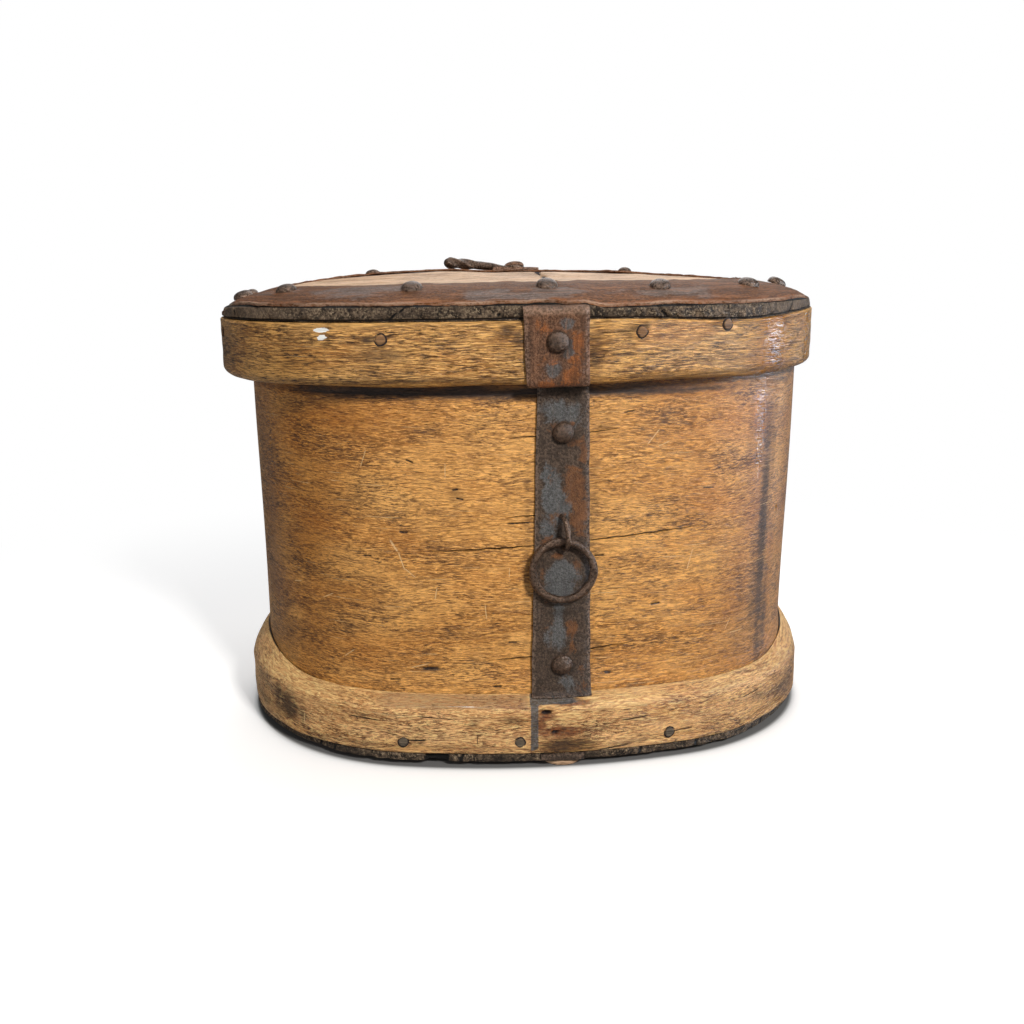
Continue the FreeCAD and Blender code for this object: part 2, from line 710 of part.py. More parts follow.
# ---------------------------------------------------------------- iron on the front
def make_front_strap_blank():
    """The strap down the front of the wall, a little wider towards its foot."""
    body = new_body("front_strap_blank", x=f"{BOX_X} + sizes.front_strap_x", y="-(sizes.half_width + sizes.fit_gap)",
                    z=f"{BASE_BAND_TOP} + sizes.seat_gap")
    sketch = sketch_on(body, "XZ_Plane", "front_strap_outline")
    height = f"({WALL_TOP} - {BASE_BAND_TOP} - sizes.seat_gap - sizes.front_strap_top_drop)"
    foot, top, tall = size("front_strap_foot_width") / 2, size("front_strap_top_width") / 2, number(height)
    corners = [Vector(-foot, 0, 0), Vector(foot, 0, 0), Vector(top, tall, 0), Vector(-top, tall, 0)]
    for start, end in zip(corners, corners[1:] + corners[:1]):
        sketch.addGeometry(Part.LineSegment(start, end), False)
    for line in range(4):
        sketch.addConstraint(Sketcher.Constraint("Coincident", line, 2, (line + 1) % 4, 1))
    sketch.addConstraint(Sketcher.Constraint("PointOnObject", 0, 1, -1))
    sketch.addConstraint(Sketcher.Constraint("Symmetric", 0, 1, 0, 2, -2))
    sketch.addConstraint(Sketcher.Constraint("Symmetric", 2, 2, 2, 1, -2))
    for terms, expression in (
        (("DistanceX", 0, 1, 0, 2, 2 * foot), "sizes.front_strap_foot_width"),
        (("DistanceX", 2, 2, 2, 1, 2 * top), "sizes.front_strap_top_width"),
        (("DistanceY", 0, 2, 2, 1, tall), height),
    ):
        index = sketch.addConstraint(Sketcher.Constraint(*terms))
        sketch.setExpression(f"Constraints[{index}]", expression)
    pad(body, sketch, "sizes.strap_thickness")
    return body


def wall_rivets(name, heights, middle_x, back):
    """Rivets through a strap and the wall, and the roves that they are clenched over."""
    side = 1 if back else -1
    face = side * number(STRAP_FACE)
    rove_edge = abs(middle_x - size("box_shift")) + size("rove_diameter") / 2
    wall_inside = Oval("-sizes.wall_thickness", BOX_X).side_face(rove_edge)
    tail = size("rove_thickness") * 2
    shank_length = number(STRAP_FACE) - wall_inside + tail
    rove_seat = side * (wall_inside - size("fit_gap"))
    outward = Vector(0, side, 0)
    rivets, roves = [], []
    for height in heights:
        seat = Vector(middle_x, face, height)
        rivets.append(head_nail(shank_length, seat, outward))
        under = Vector(middle_x, rove_seat, height)
        disc = rod(size("rove_diameter"), size("rove_thickness"), under, outward * -1)
        roves.append(disc.cut(rod(size("shank_diameter"), shank_length, seat, outward * -1)))
    return group(name, rivets), group(f"{name}_roves", roves)


def make_staple():
    """The wire staple for the pull ring: an arch out of the strap, clenched inside the wall."""
    radius, wire = size("staple_radius"), size("staple_wire")
    x, face, z = number(RING_X), -number(STRAP_FACE), number(STAPLE_Z)
    arch = Part.makeTorus(radius, wire / 2, Vector(x, face, z), PLUS_X)
    front_corner = Vector(x - 2 * wire, face - 2 * radius, z - 2 * radius)
    front = Part.makeBox(4 * wire, 2 * radius, 4 * radius, front_corner)
    staple = arch.common(front)
    inside = -(size("half_width") - size("wall_thickness"))
    leg_end = inside + size("fit_gap") + wire / 2
    for side in (-1, 1):
        foot = Vector(x, face, z + side * radius)
        bend = Vector(x, leg_end, z + side * radius)
        staple = staple.fuse(rod(wire, leg_end - face, foot, PLUS_Y))
        staple = staple.fuse(Part.makeSphere(wire / 2, bend))
        staple = staple.fuse(rod(wire, 2 * wire, bend, Vector(0, 0, side)))
    return staple.removeSplitter()


RING_X = "(sizes.box_shift + sizes.front_strap_x)"
STAPLE_Z = f"({BOARD_TOP} + sizes.staple_height)"
RING_PLANE_Y = f"(-{STRAP_FACE} - sizes.seat_gap - sizes.pull_ring_wire / 2)"


def pull_ring_pivot_height():
    """Where the ring's wire rests in the arch, a running gap above the arch's own wire."""
    inner = size("staple_radius") - size("staple_wire") / 2
    reach = inner - size("pull_ring_wire") / 2 - size("seat_gap")
    out = -number(RING_PLANE_Y) - number(STRAP_FACE)
    return number(STAPLE_Z) - math.sqrt(reach ** 2 - out ** 2)


def make_pull_ring():
    """The round pull ring, hanging flat in front of the strap."""
    ring = doc.addObject("Part::Torus", "pull_ring_wire")
    ring.setExpression("Radius1", "sizes.pull_ring_radius")
    ring.setExpression("Radius2", "sizes.pull_ring_wire / 2")
    centre = Vector(number(RING_X), number(RING_PLANE_Y), pull_ring_pivot_height() - size("pull_ring_radius"))
    ring.Placement = Placement(centre, Rotation(PLUS_Z, MINUS_Y))
    ring.setExpression("Placement.Base.x", RING_X)
    ring.setExpression("Placement.Base.y", RING_PLANE_Y)
    return ring


# ---------------------------------------------------------------- twisted handle
def make_handle():
    """The handle: a flat eye on the rivet, a thin neck and a bar that thickens to a blunt end."""
    seat, normal = handle_seat()
    gap, thick = size("seat_gap"), size("handle_eye_thickness")
    neck, end = size("handle_neck_diameter") / 2, size("handle_end_diameter") / 2
    eye_radius, length = size("handle_eye_diameter") / 2, size("handle_length")
    rise = math.radians(size("handle_rise"))
    eye = Part.makeCylinder(eye_radius, thick, Vector(0, 0, gap))
    direction = Vector(-math.cos(rise), 0, math.sin(rise))
    start = direction * (size("rivet_head_diameter") / 2 + gap) + PLUS_Z * (gap + neck)
    bar_length = length - eye_radius
    bar = Part.makeCone(neck, end, bar_length, start, direction)
    tip = Part.makeSphere(end, start + direction * bar_length)
    hole_radius = size("shank_diameter") / 2 + size("running_clearance")
    hole = Part.makeCylinder(hole_radius, 4 * thick, Vector(0, 0, -thick))
    handle = eye.fuse([bar, tip]).cut(hole).removeSplitter()
    handle.Placement = Placement(seat, Rotation(PLUS_Z, normal))
    return feature_from("handle_bar", handle)


def make_handle_rivet():
    """The rivet that the handle turns on, through the hinge strap and the iron ring."""
    seat, normal = handle_seat()
    above = size("handle_eye_thickness") + 2 * size("seat_gap")
    head = seat + normal * above
    return head_nail(size("ring_nail_length") + above, head, normal)


# ---------------------------------------------------------------- the assembly
feet = node("feet", make_feet())
under_strap = node("under_strap_end", make_under_strap())

base_pegs = group("base_peg_set", peg_rods(
    BASE_PEG_AZIMUTHS, "sizes.base_band_reach", BOX_X, PEG_HEIGHT, "sizes.peg_length"))
empty_holes = group("empty_holes", strap_nail_holes() + peg_rods(
    (EMPTY_PEG_HOLE_AZIMUTH,), "sizes.base_band_reach + sizes.fit_gap", BOX_X, PEG_HEIGHT,
    "sizes.base_band_reach * 0.8"))
stitches = make_stitches()

front_x = number(f"{BOX_X} + sizes.front_strap_x")
front_span = size("wall_height") - size("base_band_height")
front_rivets, front_roves = wall_rivets(
    "front_rivet_set", (number(BASE_BAND_TOP) + 0.087 * front_span, number(WALL_TOP) - 0.24 * front_span),
    front_x, back=False)
hinge_rivets, hinge_roves = wall_rivets(
    "hinge_rivet_set", (number(BASE_BAND_TOP) + 0.1 * front_span, number(BASE_BAND_TOP) + 0.42 * front_span,
                        number(BASE_BAND_TOP) + 0.74 * front_span),
    number(HINGE_X), back=True)
staple = feature_from("staple_wire_form", make_staple())

node("bottom_board", cut("bottom_board_cut", make_bottom_board_blank(), under_strap, base_pegs))
node("base_band", cut("base_band_cut", make_base_band_blank(), base_pegs, empty_holes))
node("bent_wall", cut("wall_cut", make_wall_blank(), base_pegs, stitches, front_rivets, hinge_rivets, staple))
node("base_band_pegs", base_pegs)
node("wall_seam_stitches", stitches)

node("front_strap", cut("front_strap_cut", make_front_strap_blank(), front_rivets, staple))
node("front_strap_rivets", front_rivets)
node("front_strap_roves", front_roves)
node("ring_staple", staple)
node("pull_ring", make_pull_ring())

node("body_hinge_strap", cut(
    "body_hinge_strap_cut", feature_from("body_hinge_strap_sheet", make_body_hinge_strap()), hinge_rivets))
node("body_hinge_rivets", hinge_rivets)
node("body_hinge_roves", hinge_roves)
node("hinge_pin", feature_from("hinge_pin_bar", make_hinge_pin()))

lid_pegs = group("lid_peg_set", peg_rods(
    (-123, -68, -48, 24, 62, 118, 152, -168), "sizes.lid_band_reach", LID_X,
    f"{LID_BAND_TOP} - 0.23 * sizes.lid_band_height", "sizes.lid_peg_length"))
ring_nails = make_ring_nails()
lid_front_strap = feature_from("lid_front_strap_sheet", make_lid_front_strap())
lid_front_nail = feature_from("lid_front_nail", lid_strap_nail(False, number(f"{BOX_X} + sizes.lid_strap_x")))
lid_hinge_strap = feature_from("lid_hinge_strap_sheet", make_lid_hinge_strap())
lid_hinge_nail = feature_from("lid_hinge_nail", lid_strap_nail(True, number(HINGE_X)))
handle_rivet = feature_from("handle_rivet_form", make_handle_rivet())

node("lid_band", cut("lid_band_cut", make_lid_band_blank(), lid_pegs, lid_front_nail, lid_hinge_nail))
node("lid_board", cut(
    "lid_board_cut", make_lid_board_blank(), make_margin_shavings(),
    lid_pegs, ring_nails, lid_front_nail, lid_hinge_nail, handle_rivet, lid_front_strap))
node("lid_band_pegs", lid_pegs)
node("lid_iron_ring", cut("iron_ring_cut", make_iron_ring(), ring_nails, handle_rivet))
node("lid_ring_nails", ring_nails)
node("lid_front_strap", cut("lid_front_strap_cut", lid_front_strap, lid_front_nail))
node("lid_front_strap_nail", lid_front_nail)
node("lid_hinge_strap", cut("lid_hinge_strap_cut", lid_hinge_strap, lid_hinge_nail, handle_rivet))
node("lid_hinge_strap_nail", lid_hinge_nail)
node("twisted_handle", make_handle())
node("handle_rivet", handle_rivet)

# ---------------------------------------------------------------- checks and files
doc.recompute()
for item in doc.Objects:
    if "Invalid" in item.State or "Error" in item.State:
        raise RuntimeError(f"{item.Name} is in state {item.State}")
for label, item in NODES.items():
    if item.Shape.isNull() or not item.Shape.isValid() or not item.Shape.Solids:
        raise RuntimeError(f"{label} has no valid solid")
for label, item in NODES.items():
    item.Shape.exportStep(f"parts/{label}.step")
    print(f"{label}: {len(item.Shape.Solids)} solid(s), {item.Shape.Volume / 1000:.2f} cm3")
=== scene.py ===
import math

import bmesh
import bpy
import numpy as np
from mathutils import Matrix, Vector


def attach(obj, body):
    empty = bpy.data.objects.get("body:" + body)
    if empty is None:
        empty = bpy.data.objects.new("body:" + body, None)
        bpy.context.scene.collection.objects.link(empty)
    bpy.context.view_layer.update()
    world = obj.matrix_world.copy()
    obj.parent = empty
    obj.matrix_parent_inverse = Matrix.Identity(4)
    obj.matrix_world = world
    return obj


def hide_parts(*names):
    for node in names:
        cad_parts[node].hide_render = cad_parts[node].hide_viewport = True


# The looks of an oval bentwood tine box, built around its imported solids.
# Lengths are written in millimetres and turned into metres when a mesh is made.
# s is the distance round the oval from the middle of the front, positive to the right.
# reach is the distance outwards from the bent wall's outer face.
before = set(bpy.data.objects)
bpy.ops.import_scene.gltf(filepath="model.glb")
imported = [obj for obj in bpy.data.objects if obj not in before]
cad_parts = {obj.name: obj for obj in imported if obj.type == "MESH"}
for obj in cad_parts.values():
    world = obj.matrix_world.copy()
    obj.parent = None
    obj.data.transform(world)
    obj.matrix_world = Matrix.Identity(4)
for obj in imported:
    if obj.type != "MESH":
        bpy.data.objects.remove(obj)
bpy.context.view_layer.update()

MM = 0.001
TAU = 2 * math.pi

# ------------------------------------------------------------------ sizes shared with the solids
BOX_X, LID_X, LID_HOLLOW_X = 3.3, -1.3, 0.8
HALF_LENGTH, HALF_WIDTH, END_RADIUS = 166.0, 116.0, 110.0
WALL, BOARD_TOP, BASE_TOP, WALL_TOP = 5.0, 8.1, 40.4, 232.4
BAND_LOW, BAND_TOP = 211.7, 244.4
BASE_REACH, LID_REACH = 10.3, 12.3
RIM_TOP, CROWN_RISE, CROWN_MARGIN = 250.1, 13.2, 42.2
RIM_REACH, RING_REACH, RING_INNER = 11.3, 10.3, -29.4
STRAP_X, LID_STRAP_X, HINGE_X = 11.7, 7.1, 5.3
AXIS_Y, AXIS_Z = 121.05, 206.65

CENTRE_X = HALF_LENGTH - END_RADIUS
CENTRE_Y = (CENTRE_X**2 + HALF_WIDTH**2 - END_RADIUS**2) / (2 * (HALF_WIDTH - END_RADIUS)) - HALF_WIDTH
SIDE_RADIUS = CENTRE_Y + HALF_WIDTH
JOIN = math.atan2(CENTRE_Y, CENTRE_X)
SIDE_LENGTH = SIDE_RADIUS * (math.pi / 2 - JOIN)
END_LENGTH = END_RADIUS * 2 * JOIN
HALF_ROUND = 2 * SIDE_LENGTH + END_LENGTH


def oval(s):
    """Points of the wall's oval and their outward normals, at distances s from the front's middle."""
    s = np.asarray(s, float)
    side, run = np.sign(s), np.abs(s)
    front = run / SIDE_RADIUS
    end = (run - SIDE_LENGTH) / END_RADIUS - JOIN
    back = (run - SIDE_LENGTH - END_LENGTH) / SIDE_RADIUS + JOIN
    at_front, at_end = run < SIDE_LENGTH, run < SIDE_LENGTH + END_LENGTH
    nx = np.where(at_front, np.sin(front), np.where(at_end, np.cos(end), np.cos(back)))
    ny = np.where(at_front, -np.cos(front), np.where(at_end, np.sin(end), np.sin(back)))
    radius = np.where(at_front | ~at_end, SIDE_RADIUS, END_RADIUS)
    cx = np.where(at_end & ~at_front, CENTRE_X, 0.0)
    cy = np.where(at_front, CENTRE_Y, np.where(at_end, 0.0, -CENTRE_Y))
    x, y = cx + radius * nx, cy + radius * ny
    return np.stack([x * side, y], -1), np.stack([nx * side, ny], -1)


ROUND = np.linspace(-HALF_ROUND, HALF_ROUND, 7201)


def s_at(azimuth, reach=0.0):
    """Where round the oval an azimuth in degrees, seen from its middle, meets a reach."""
    point, normal = oval(ROUND[:-1])
    point = point + normal * reach
    angle = np.degrees(np.arctan2(point[:, 1], point[:, 0]))
    off = (angle - azimuth + 180) % 360 - 180
    return float(ROUND[int(np.argmin(np.abs(off)))])


# ------------------------------------------------------------------ smooth random shapes
# How many waves a random field is the sum of.
RIPPLE_WAVES, FIELD_WAVES = 14, 18


def ripple(s, t, wave_s, wave_t, seed):
    """A smooth field of unit size over (s, t): it closes on itself round the oval."""
    random = np.random.default_rng(seed)
    total = 0.0
    turns = 2 * HALF_ROUND / wave_s
    for _ in range(RIPPLE_WAVES):
        k = round(turns * random.uniform(0.35, 1.3)) * random.choice((-1, 1))
        m = TAU / wave_t * random.uniform(-1.2, 1.2)
        total = total + np.sin(TAU * k * s / (2 * HALF_ROUND) + m * t + random.uniform(0, TAU))
    return total / math.sqrt(RIPPLE_WAVES)


def field(points, wave, seed):
    """A smooth field of unit size in space."""
    random = np.random.default_rng(seed)
    total = 0.0
    for _ in range(FIELD_WAVES):
        direction = random.normal(size=3)
        direction *= TAU / wave * random.uniform(0.5, 1.4) / np.linalg.norm(direction)
        total = total + np.sin(points @ direction + random.uniform(0, TAU))
    return total / math.sqrt(FIELD_WAVES)


def smooth(x, low, high):
    """A smooth step: 0 where x is at low, 1 where it is at high."""
    t = np.clip((np.asarray(x, float) - low) / (high - low), 0, 1)
    return t * t * (3 - 2 * t)


def around(count):
    """Angles of points evenly spaced round a circle."""
    return np.arange(count) * TAU / count


def wobble(random, angle, amount, waves=(1, 2, 3, 5)):
    """The uneven share by which a hand-made outline leaves its circle."""
    return sum(random.uniform(-amount, amount) * np.cos(k * angle + random.uniform(0, TAU)) for k in waves)


def turned(centre, right, up, profile, angle, outline=1.0, round_within=0.0):
    """Rings of points about an axis, from (radius, distance along it); small rings keep a true circle."""
    right, up = np.asarray(right, float), np.asarray(up, float)
    circle = right * np.cos(angle)[:, None] + up * np.sin(angle)[:, None]
    rings = []
    for radius, distance in profile:
        uneven = radius * (outline if radius > round_within else 1.0) * np.ones(len(angle))
        rings.append(np.asarray(centre) + circle * uneven[:, None] + np.cross(right, up) * distance)
    return np.stack(rings, 1)


def blob(s, t, spots):
    """The largest of several soft elliptical spots: (s, t, half length, half height, strength)."""
    total = np.zeros(np.broadcast(s, t).shape)
    for s0, t0, a, b, strength in spots:
        total = np.maximum(total, strength * np.exp(-(((s - s0) / a) ** 2 + ((t - t0) / b) ** 2)))
    return total


# ------------------------------------------------------------------ meshes
class Builder:
    """Gathers grids of points into one mesh, with a UV in millimetres along and across the grain."""

    def __init__(self):
        self.points, self.faces, self.uvs, self.kinds, self.marks = [], [], [], [], {}
        self.count = 0

    def grid(self, points, u, v, wrap_rows=False, wrap_columns=False, wrap_u=0.0, wrap_v=0.0, kind=0,
             **marks):
        """Adds a grid of points [rows, columns, 3]; a wrapped side joins back on to the first."""
        rows, columns = points.shape[:2]
        u = np.broadcast_to(u, (rows, columns))
        v = np.broadcast_to(v, (rows, columns))
        start = self.count
        row_count = rows if wrap_rows else rows - 1
        column_count = columns if wrap_columns else columns - 1
        i, j = np.meshgrid(np.arange(row_count), np.arange(column_count), indexing="ij")
        i, j = i.ravel(), j.ravel()
        corners = ((i, j), (i + 1, j), (i + 1, j + 1), (i, j + 1))
        index = np.stack([start + (a % rows) * columns + b % columns for a, b in corners], -1)
        uv = np.stack([
            np.stack([u[a % rows, b % columns] + wrap_u * (a // rows),
                      v[a % rows, b % columns] + wrap_v * (b // columns)], -1)
            for a, b in corners], 1)
        self.points.append(points.reshape(-1, 3))
        self.faces.extend(index.tolist())
        self.kinds.append(np.broadcast_to(kind, (rows, columns))[i, j])
        self.uvs.append(uv.reshape(-1, 2))
        for key in {**self.marks, **marks}:
            values = self.marks.setdefault(key, [np.zeros(start)] if start else [])
            values.append(np.broadcast_to(marks.get(key, 0.0), (rows, columns)).ravel())
        self.count += rows * columns
        return start

    def face(self, corners, uv):
        """One more face between existing points."""
        self.faces.append([int(corner) for corner in corners])
        self.uvs.append(np.asarray(uv, float))
        self.kinds.append(np.array([0]))

    def fan(self, row, ring, uv=None, raised=0.0):
        """Closes a ring of existing points round a new point in its middle."""
        self.points.append((ring.mean(0) + raised).reshape(1, 3))
        for values in self.marks.values():
            values.append(np.zeros(1))
        uv = np.zeros((len(row), 2)) if uv is None else uv
        for k in range(len(row)):
            after = (k + 1) % len(row)
            self.face([row[after], row[k], self.count], [uv[after], uv[k], uv.mean(0)])
        self.count += 1

    def close_rings(self, start, points, uv=None):
        """Closes the first and the last ring of a grid whose columns are rings."""
        rows, columns = points.shape[:2]
        for column in (0, columns - 1):
            self.fan(start + np.arange(rows) * columns + column, points[:, column],
                     None if uv is None else uv[:, column])

    def close_strip(self, start, rows, columns):
        """Closes both ends of a strip whose rows are loops over its upper and its lower face."""
        for base in (start, start + (rows - 1) * columns):
            for k in range(columns // 2 - 1):
                self.face([base + k, base + k + 1, base + columns - 2 - k, base + columns - 1 - k], CAP_UV)

    def make(self, name, body, materials, replaces, warp=None, sharp=40.0):
        """Makes one piece of the scene, and hangs it on its body in place of the solids it replaces."""
        points = np.concatenate(self.points)
        if warp:
            points = warp(points)
        mesh = bpy.data.meshes.new(name)
        mesh.from_pydata((points * MM).tolist(), [], self.faces)
        layer = mesh.uv_layers.new(name="grain")
        layer.data.foreach_set("uv", (np.concatenate(self.uvs).astype(np.float32) * MM).ravel())
        for key, values in self.marks.items():
            attribute = mesh.attributes.new(key, "FLOAT", "POINT")
            attribute.data.foreach_set("value", np.concatenate(values).astype(np.float32))
        for material in materials if isinstance(materials, list) else [materials]:
            mesh.materials.append(material)
        mesh.polygons.foreach_set("material_index", np.concatenate(self.kinds))
        solid = bmesh.new()
        solid.from_mesh(mesh)
        bmesh.ops.recalc_face_normals(solid, faces=solid.faces)
        solid.to_mesh(mesh)
        solid.free()
        mesh.polygons.foreach_set("use_smooth", [True] * len(mesh.polygons))
        mesh.set_sharp_from_angle(angle=math.radians(sharp))
        piece = bpy.data.objects.new(name, mesh)
        bpy.context.scene.collection.objects.link(piece)
        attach(piece, body)
        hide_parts(*replaces)


def ring_points(s, reach, z, middle_x):
    """Points [len(s), len(reach), 3] of a band's section carried round the oval."""
    point, normal = oval(s)
    reach = np.broadcast_to(reach, (len(s), np.shape(reach)[-1]))
    z = np.broadcast_to(z, reach.shape)
    x = point[:, None, 0] + normal[:, None, 0] * reach + np.broadcast_to(middle_x, reach.shape)
    y = point[:, None, 1] + normal[:, None, 1] * reach
    return np.stack([x, y, z], -1)


def section_lengths(reach, z):
    """Distances along a section from its first point."""
    steps = np.hypot(np.diff(reach), np.diff(z))
    return np.concatenate([[0.0], np.cumsum(steps)])


def spread(s, section):
    """Grids of s, reach and height for a section of (reach, z) carried round the oval."""
    section = np.asarray(section, float)
    shape = len(s), len(section)
    return tuple(np.broadcast_to(values, shape) for values in (s[:, None], section[:, 0], section[:, 1]))


def polyline(corners, step):
    """Points along straight runs between corners, about one step apart."""
    out = []
    for (r0, z0), (r1, z1) in zip(corners, corners[1:]):
        n = max(1, int(round(math.hypot(r1 - r0, z1 - z0) / step)))
        out += [(r0 + (r1 - r0) * k / n, z0 + (z1 - z0) * k / n) for k in range(n)]
    out.append(corners[-1])
    return out


def arc(cr, cz, radius, start, end, count):
    """Points of an arc of a section, by angles in degrees, both ends included."""
    angles = np.radians(np.linspace(start, end, count))
    return [(cr + radius * math.cos(a), cz + radius * math.sin(a)) for a in angles]


def band(name, section, body, material, replaces, middle_x, shape, marks, warp=None, v_start=0.0):
    """A closed band: its section, a loop of (reach, z), shaped, marked and carried round the oval."""
    s = even_s(ROUND_STEPS)
    section = np.asarray(section, float)
    v = v_start + section_lengths(section[:, 0], section[:, 1])
    closing = math.hypot(*(section[0] - section[-1]))
    grid_s, reach, z = spread(s, section)
    reach, z = shape(grid_s, reach, z)
    built = Builder()
    built.grid(ring_points(s, reach, z, middle_x), s[:, None], v[None, :], wrap_rows=True, wrap_columns=True,
               wrap_u=2 * HALF_ROUND, wrap_v=v[-1] - v_start + closing, **marks(grid_s, reach, z))
    built.make(name, body, material, replaces, warp)


# The UV of a cap that closes a strip's end, and the number of steps round the bands.
CAP_UV = [[0, 0], [0, 1], [1, 1], [1, 0]]
ROUND_STEPS = 640


def even_s(count):
    """Distances of evenly spaced points round the whole oval."""
    return np.linspace(-HALF_ROUND, HALF_ROUND, count + 1)[:-1]


# ------------------------------------------------------------------ materials
class Shader:
    """A node tree in the making: each call adds a node and gives back its output."""

    def __init__(self, name):
        self.material = bpy.data.materials.new(name)
        self.material.use_nodes = True
        self.tree = self.material.node_tree
        self.tree.nodes.clear()

    def node(self, kind, inputs=(), output=0, **settings):
        """A node whose inputs, by number or name, are linked to sockets or set to constants."""
        node = self.tree.nodes.new(kind)
        for key, value in settings.items():
            setattr(node, key, value)
        for key, value in dict(inputs).items():
            if isinstance(value, bpy.types.NodeSocket):
                self.tree.links.new(value, node.inputs[key])
            else:
                node.inputs[key].default_value = value
        return node.outputs[output] if node.outputs else node

    def math(self, operation, a, b=0.0, clamp=False):
        return self.node("ShaderNodeMath", {0: a, 1: b}, operation=operation, use_clamp=clamp)

    def add(self, a, *others, clamp=False):
        for b in others:
            a = self.math("ADD", a, b, clamp)
        return a

    def times(self, a, *others):
        for b in others:
            a = self.math("MULTIPLY", a, b)
        return a

    def largest(self, a, *others):
        for b in others:
            a = self.math("MAXIMUM", a, b)
        return a

    def mark(self, name):
        """A mark painted on the mesh, from 0 to about 1; 0 where the mesh has none of that name."""
        return self.node("ShaderNodeAttribute", output=2, attribute_name=name)

    def steps(self, value, low, high, out_low=0.0, out_high=1.0):
        """A smooth step of a value, clamped."""
        return self.node("ShaderNodeMapRange", {0: value, 1: low, 2: high, 3: out_low, 4: out_high},
                         interpolation_type="SMOOTHSTEP", clamp=True)

    def mix(self, share, a, b, blend="MIX"):
        inputs = {0: share}
        for index, colour in ((6, a), (7, b)):
            inputs[index] = colour if isinstance(colour, bpy.types.NodeSocket) else (*colour, 1.0)
        return self.node("ShaderNodeMix", inputs, 2, data_type="RGBA", blend_type=blend)

    def between(self, value, low, high, a, b):
        """Colour a where a value is below low, b where it is above high."""
        return self.mix(self.steps(value, low, high), a, b)

    def over(self, colour, tint, share, value, low, high, more=1.0):
        """Lays a share of a tint over a colour, as far as a value has stepped from low to high."""
        amount = self.times(self.steps(value, low, high), share)
        if more != 1.0:
            amount = self.times(amount, more)
        return self.mix(amount, colour, tint)

    def ragged(self, name, broken, raggedness, low, high, share):
        """A painted mark whose edge is broken up by a noise."""
        mark = self.mark(name)
        mark = self.add(mark, self.times(broken, self.times(mark, raggedness)))
        return self.times(self.steps(mark, low, high), share)

    def grain(self, along, across, offset=0.0, turn=0.0, bent=None):
        """The grain coordinates, scaled to cells per metre along and across."""
        uv = self.node("ShaderNodeUVMap", uv_map="grain")
        if bent:
            uv = self.node("ShaderNodeVectorMath", {0: uv, 1: bent}, operation="ADD")
        return self.node("ShaderNodeMapping", {0: uv, 1: (offset, offset, offset), 2: (0.0, 0.0, turn),
                                               3: (along, across, 1.0)})

    def wander(self, amount, seed):
        """A sideways drift of the fibres, in metres."""
        drift = self.noise(self.grain(16, 55, seed), 2, 0.5)
        return self.node("ShaderNodeCombineXYZ", {1: self.times(self.add(drift, -0.5), amount)})

    def stroke(self, u, v, angle, length, width):
        """1 on a thin straight mark centred on (u, v) millimetres of the grain coordinates, else 0."""
        uv = self.node("ShaderNodeUVMap", uv_map="grain")
        turn = math.radians(angle)
        cos, sin = math.cos(turn), math.sin(turn)
        on = []
        for direction, middle, outer, inner in (
                ((cos, sin, 0.0), u * cos + v * sin, length * 0.5, length * 0.3),
                ((-sin, cos, 0.0), v * cos - u * sin, width * 0.9, width * 0.25)):
            place = self.node("ShaderNodeVectorMath", {0: uv, 1: direction}, 1, operation="DOT_PRODUCT")
            off = self.math("ABSOLUTE", self.add(place, -middle * MM))
            on.append(self.steps(off, outer * MM, inner * MM))
        return self.times(*on)

    def space(self, scale, offset=0.0):
        """The object's own coordinates, scaled to cells per metre."""
        place = self.node("ShaderNodeTexCoord", output=3)
        return self.node("ShaderNodeMapping", {0: place, 1: (offset,) * 3, 3: (scale,) * 3})

    def noise(self, vector, detail=3.0, roughness=0.55, distortion=0.0):
        return self.node("ShaderNodeTexNoise", {"Vector": vector, "Scale": 1.0, "Detail": detail,
                                                "Roughness": roughness, "Distortion": distortion})

    def bump(self, height, distance, strength=1.0):
        return self.node("ShaderNodeBump", {"Strength": strength, "Distance": distance, "Height": height})

    def surface(self, colour, roughness, normal, **constants):
        """Ends the tree with a Principled surface and gives back the material."""
        inputs = {"Base Color": colour, "Roughness": roughness, "Normal": normal}
        for key, value in constants.items():
            inputs[key.replace("_", " ")] = value
        shader = self.node("ShaderNodeBsdfPrincipled", inputs)
        self.node("ShaderNodeOutputMaterial", {"Surface": shader})
        return self.material


def tone(red, green, blue):
    """A colour given as sRGB numbers from 0 to 255, as linear light."""
    def linear(value):
        value /= 255
        return value / 12.92 if value <= 0.04045 else ((value + 0.055) / 1.055) ** 2.4
    return linear(red), linear(green), linear(blue)


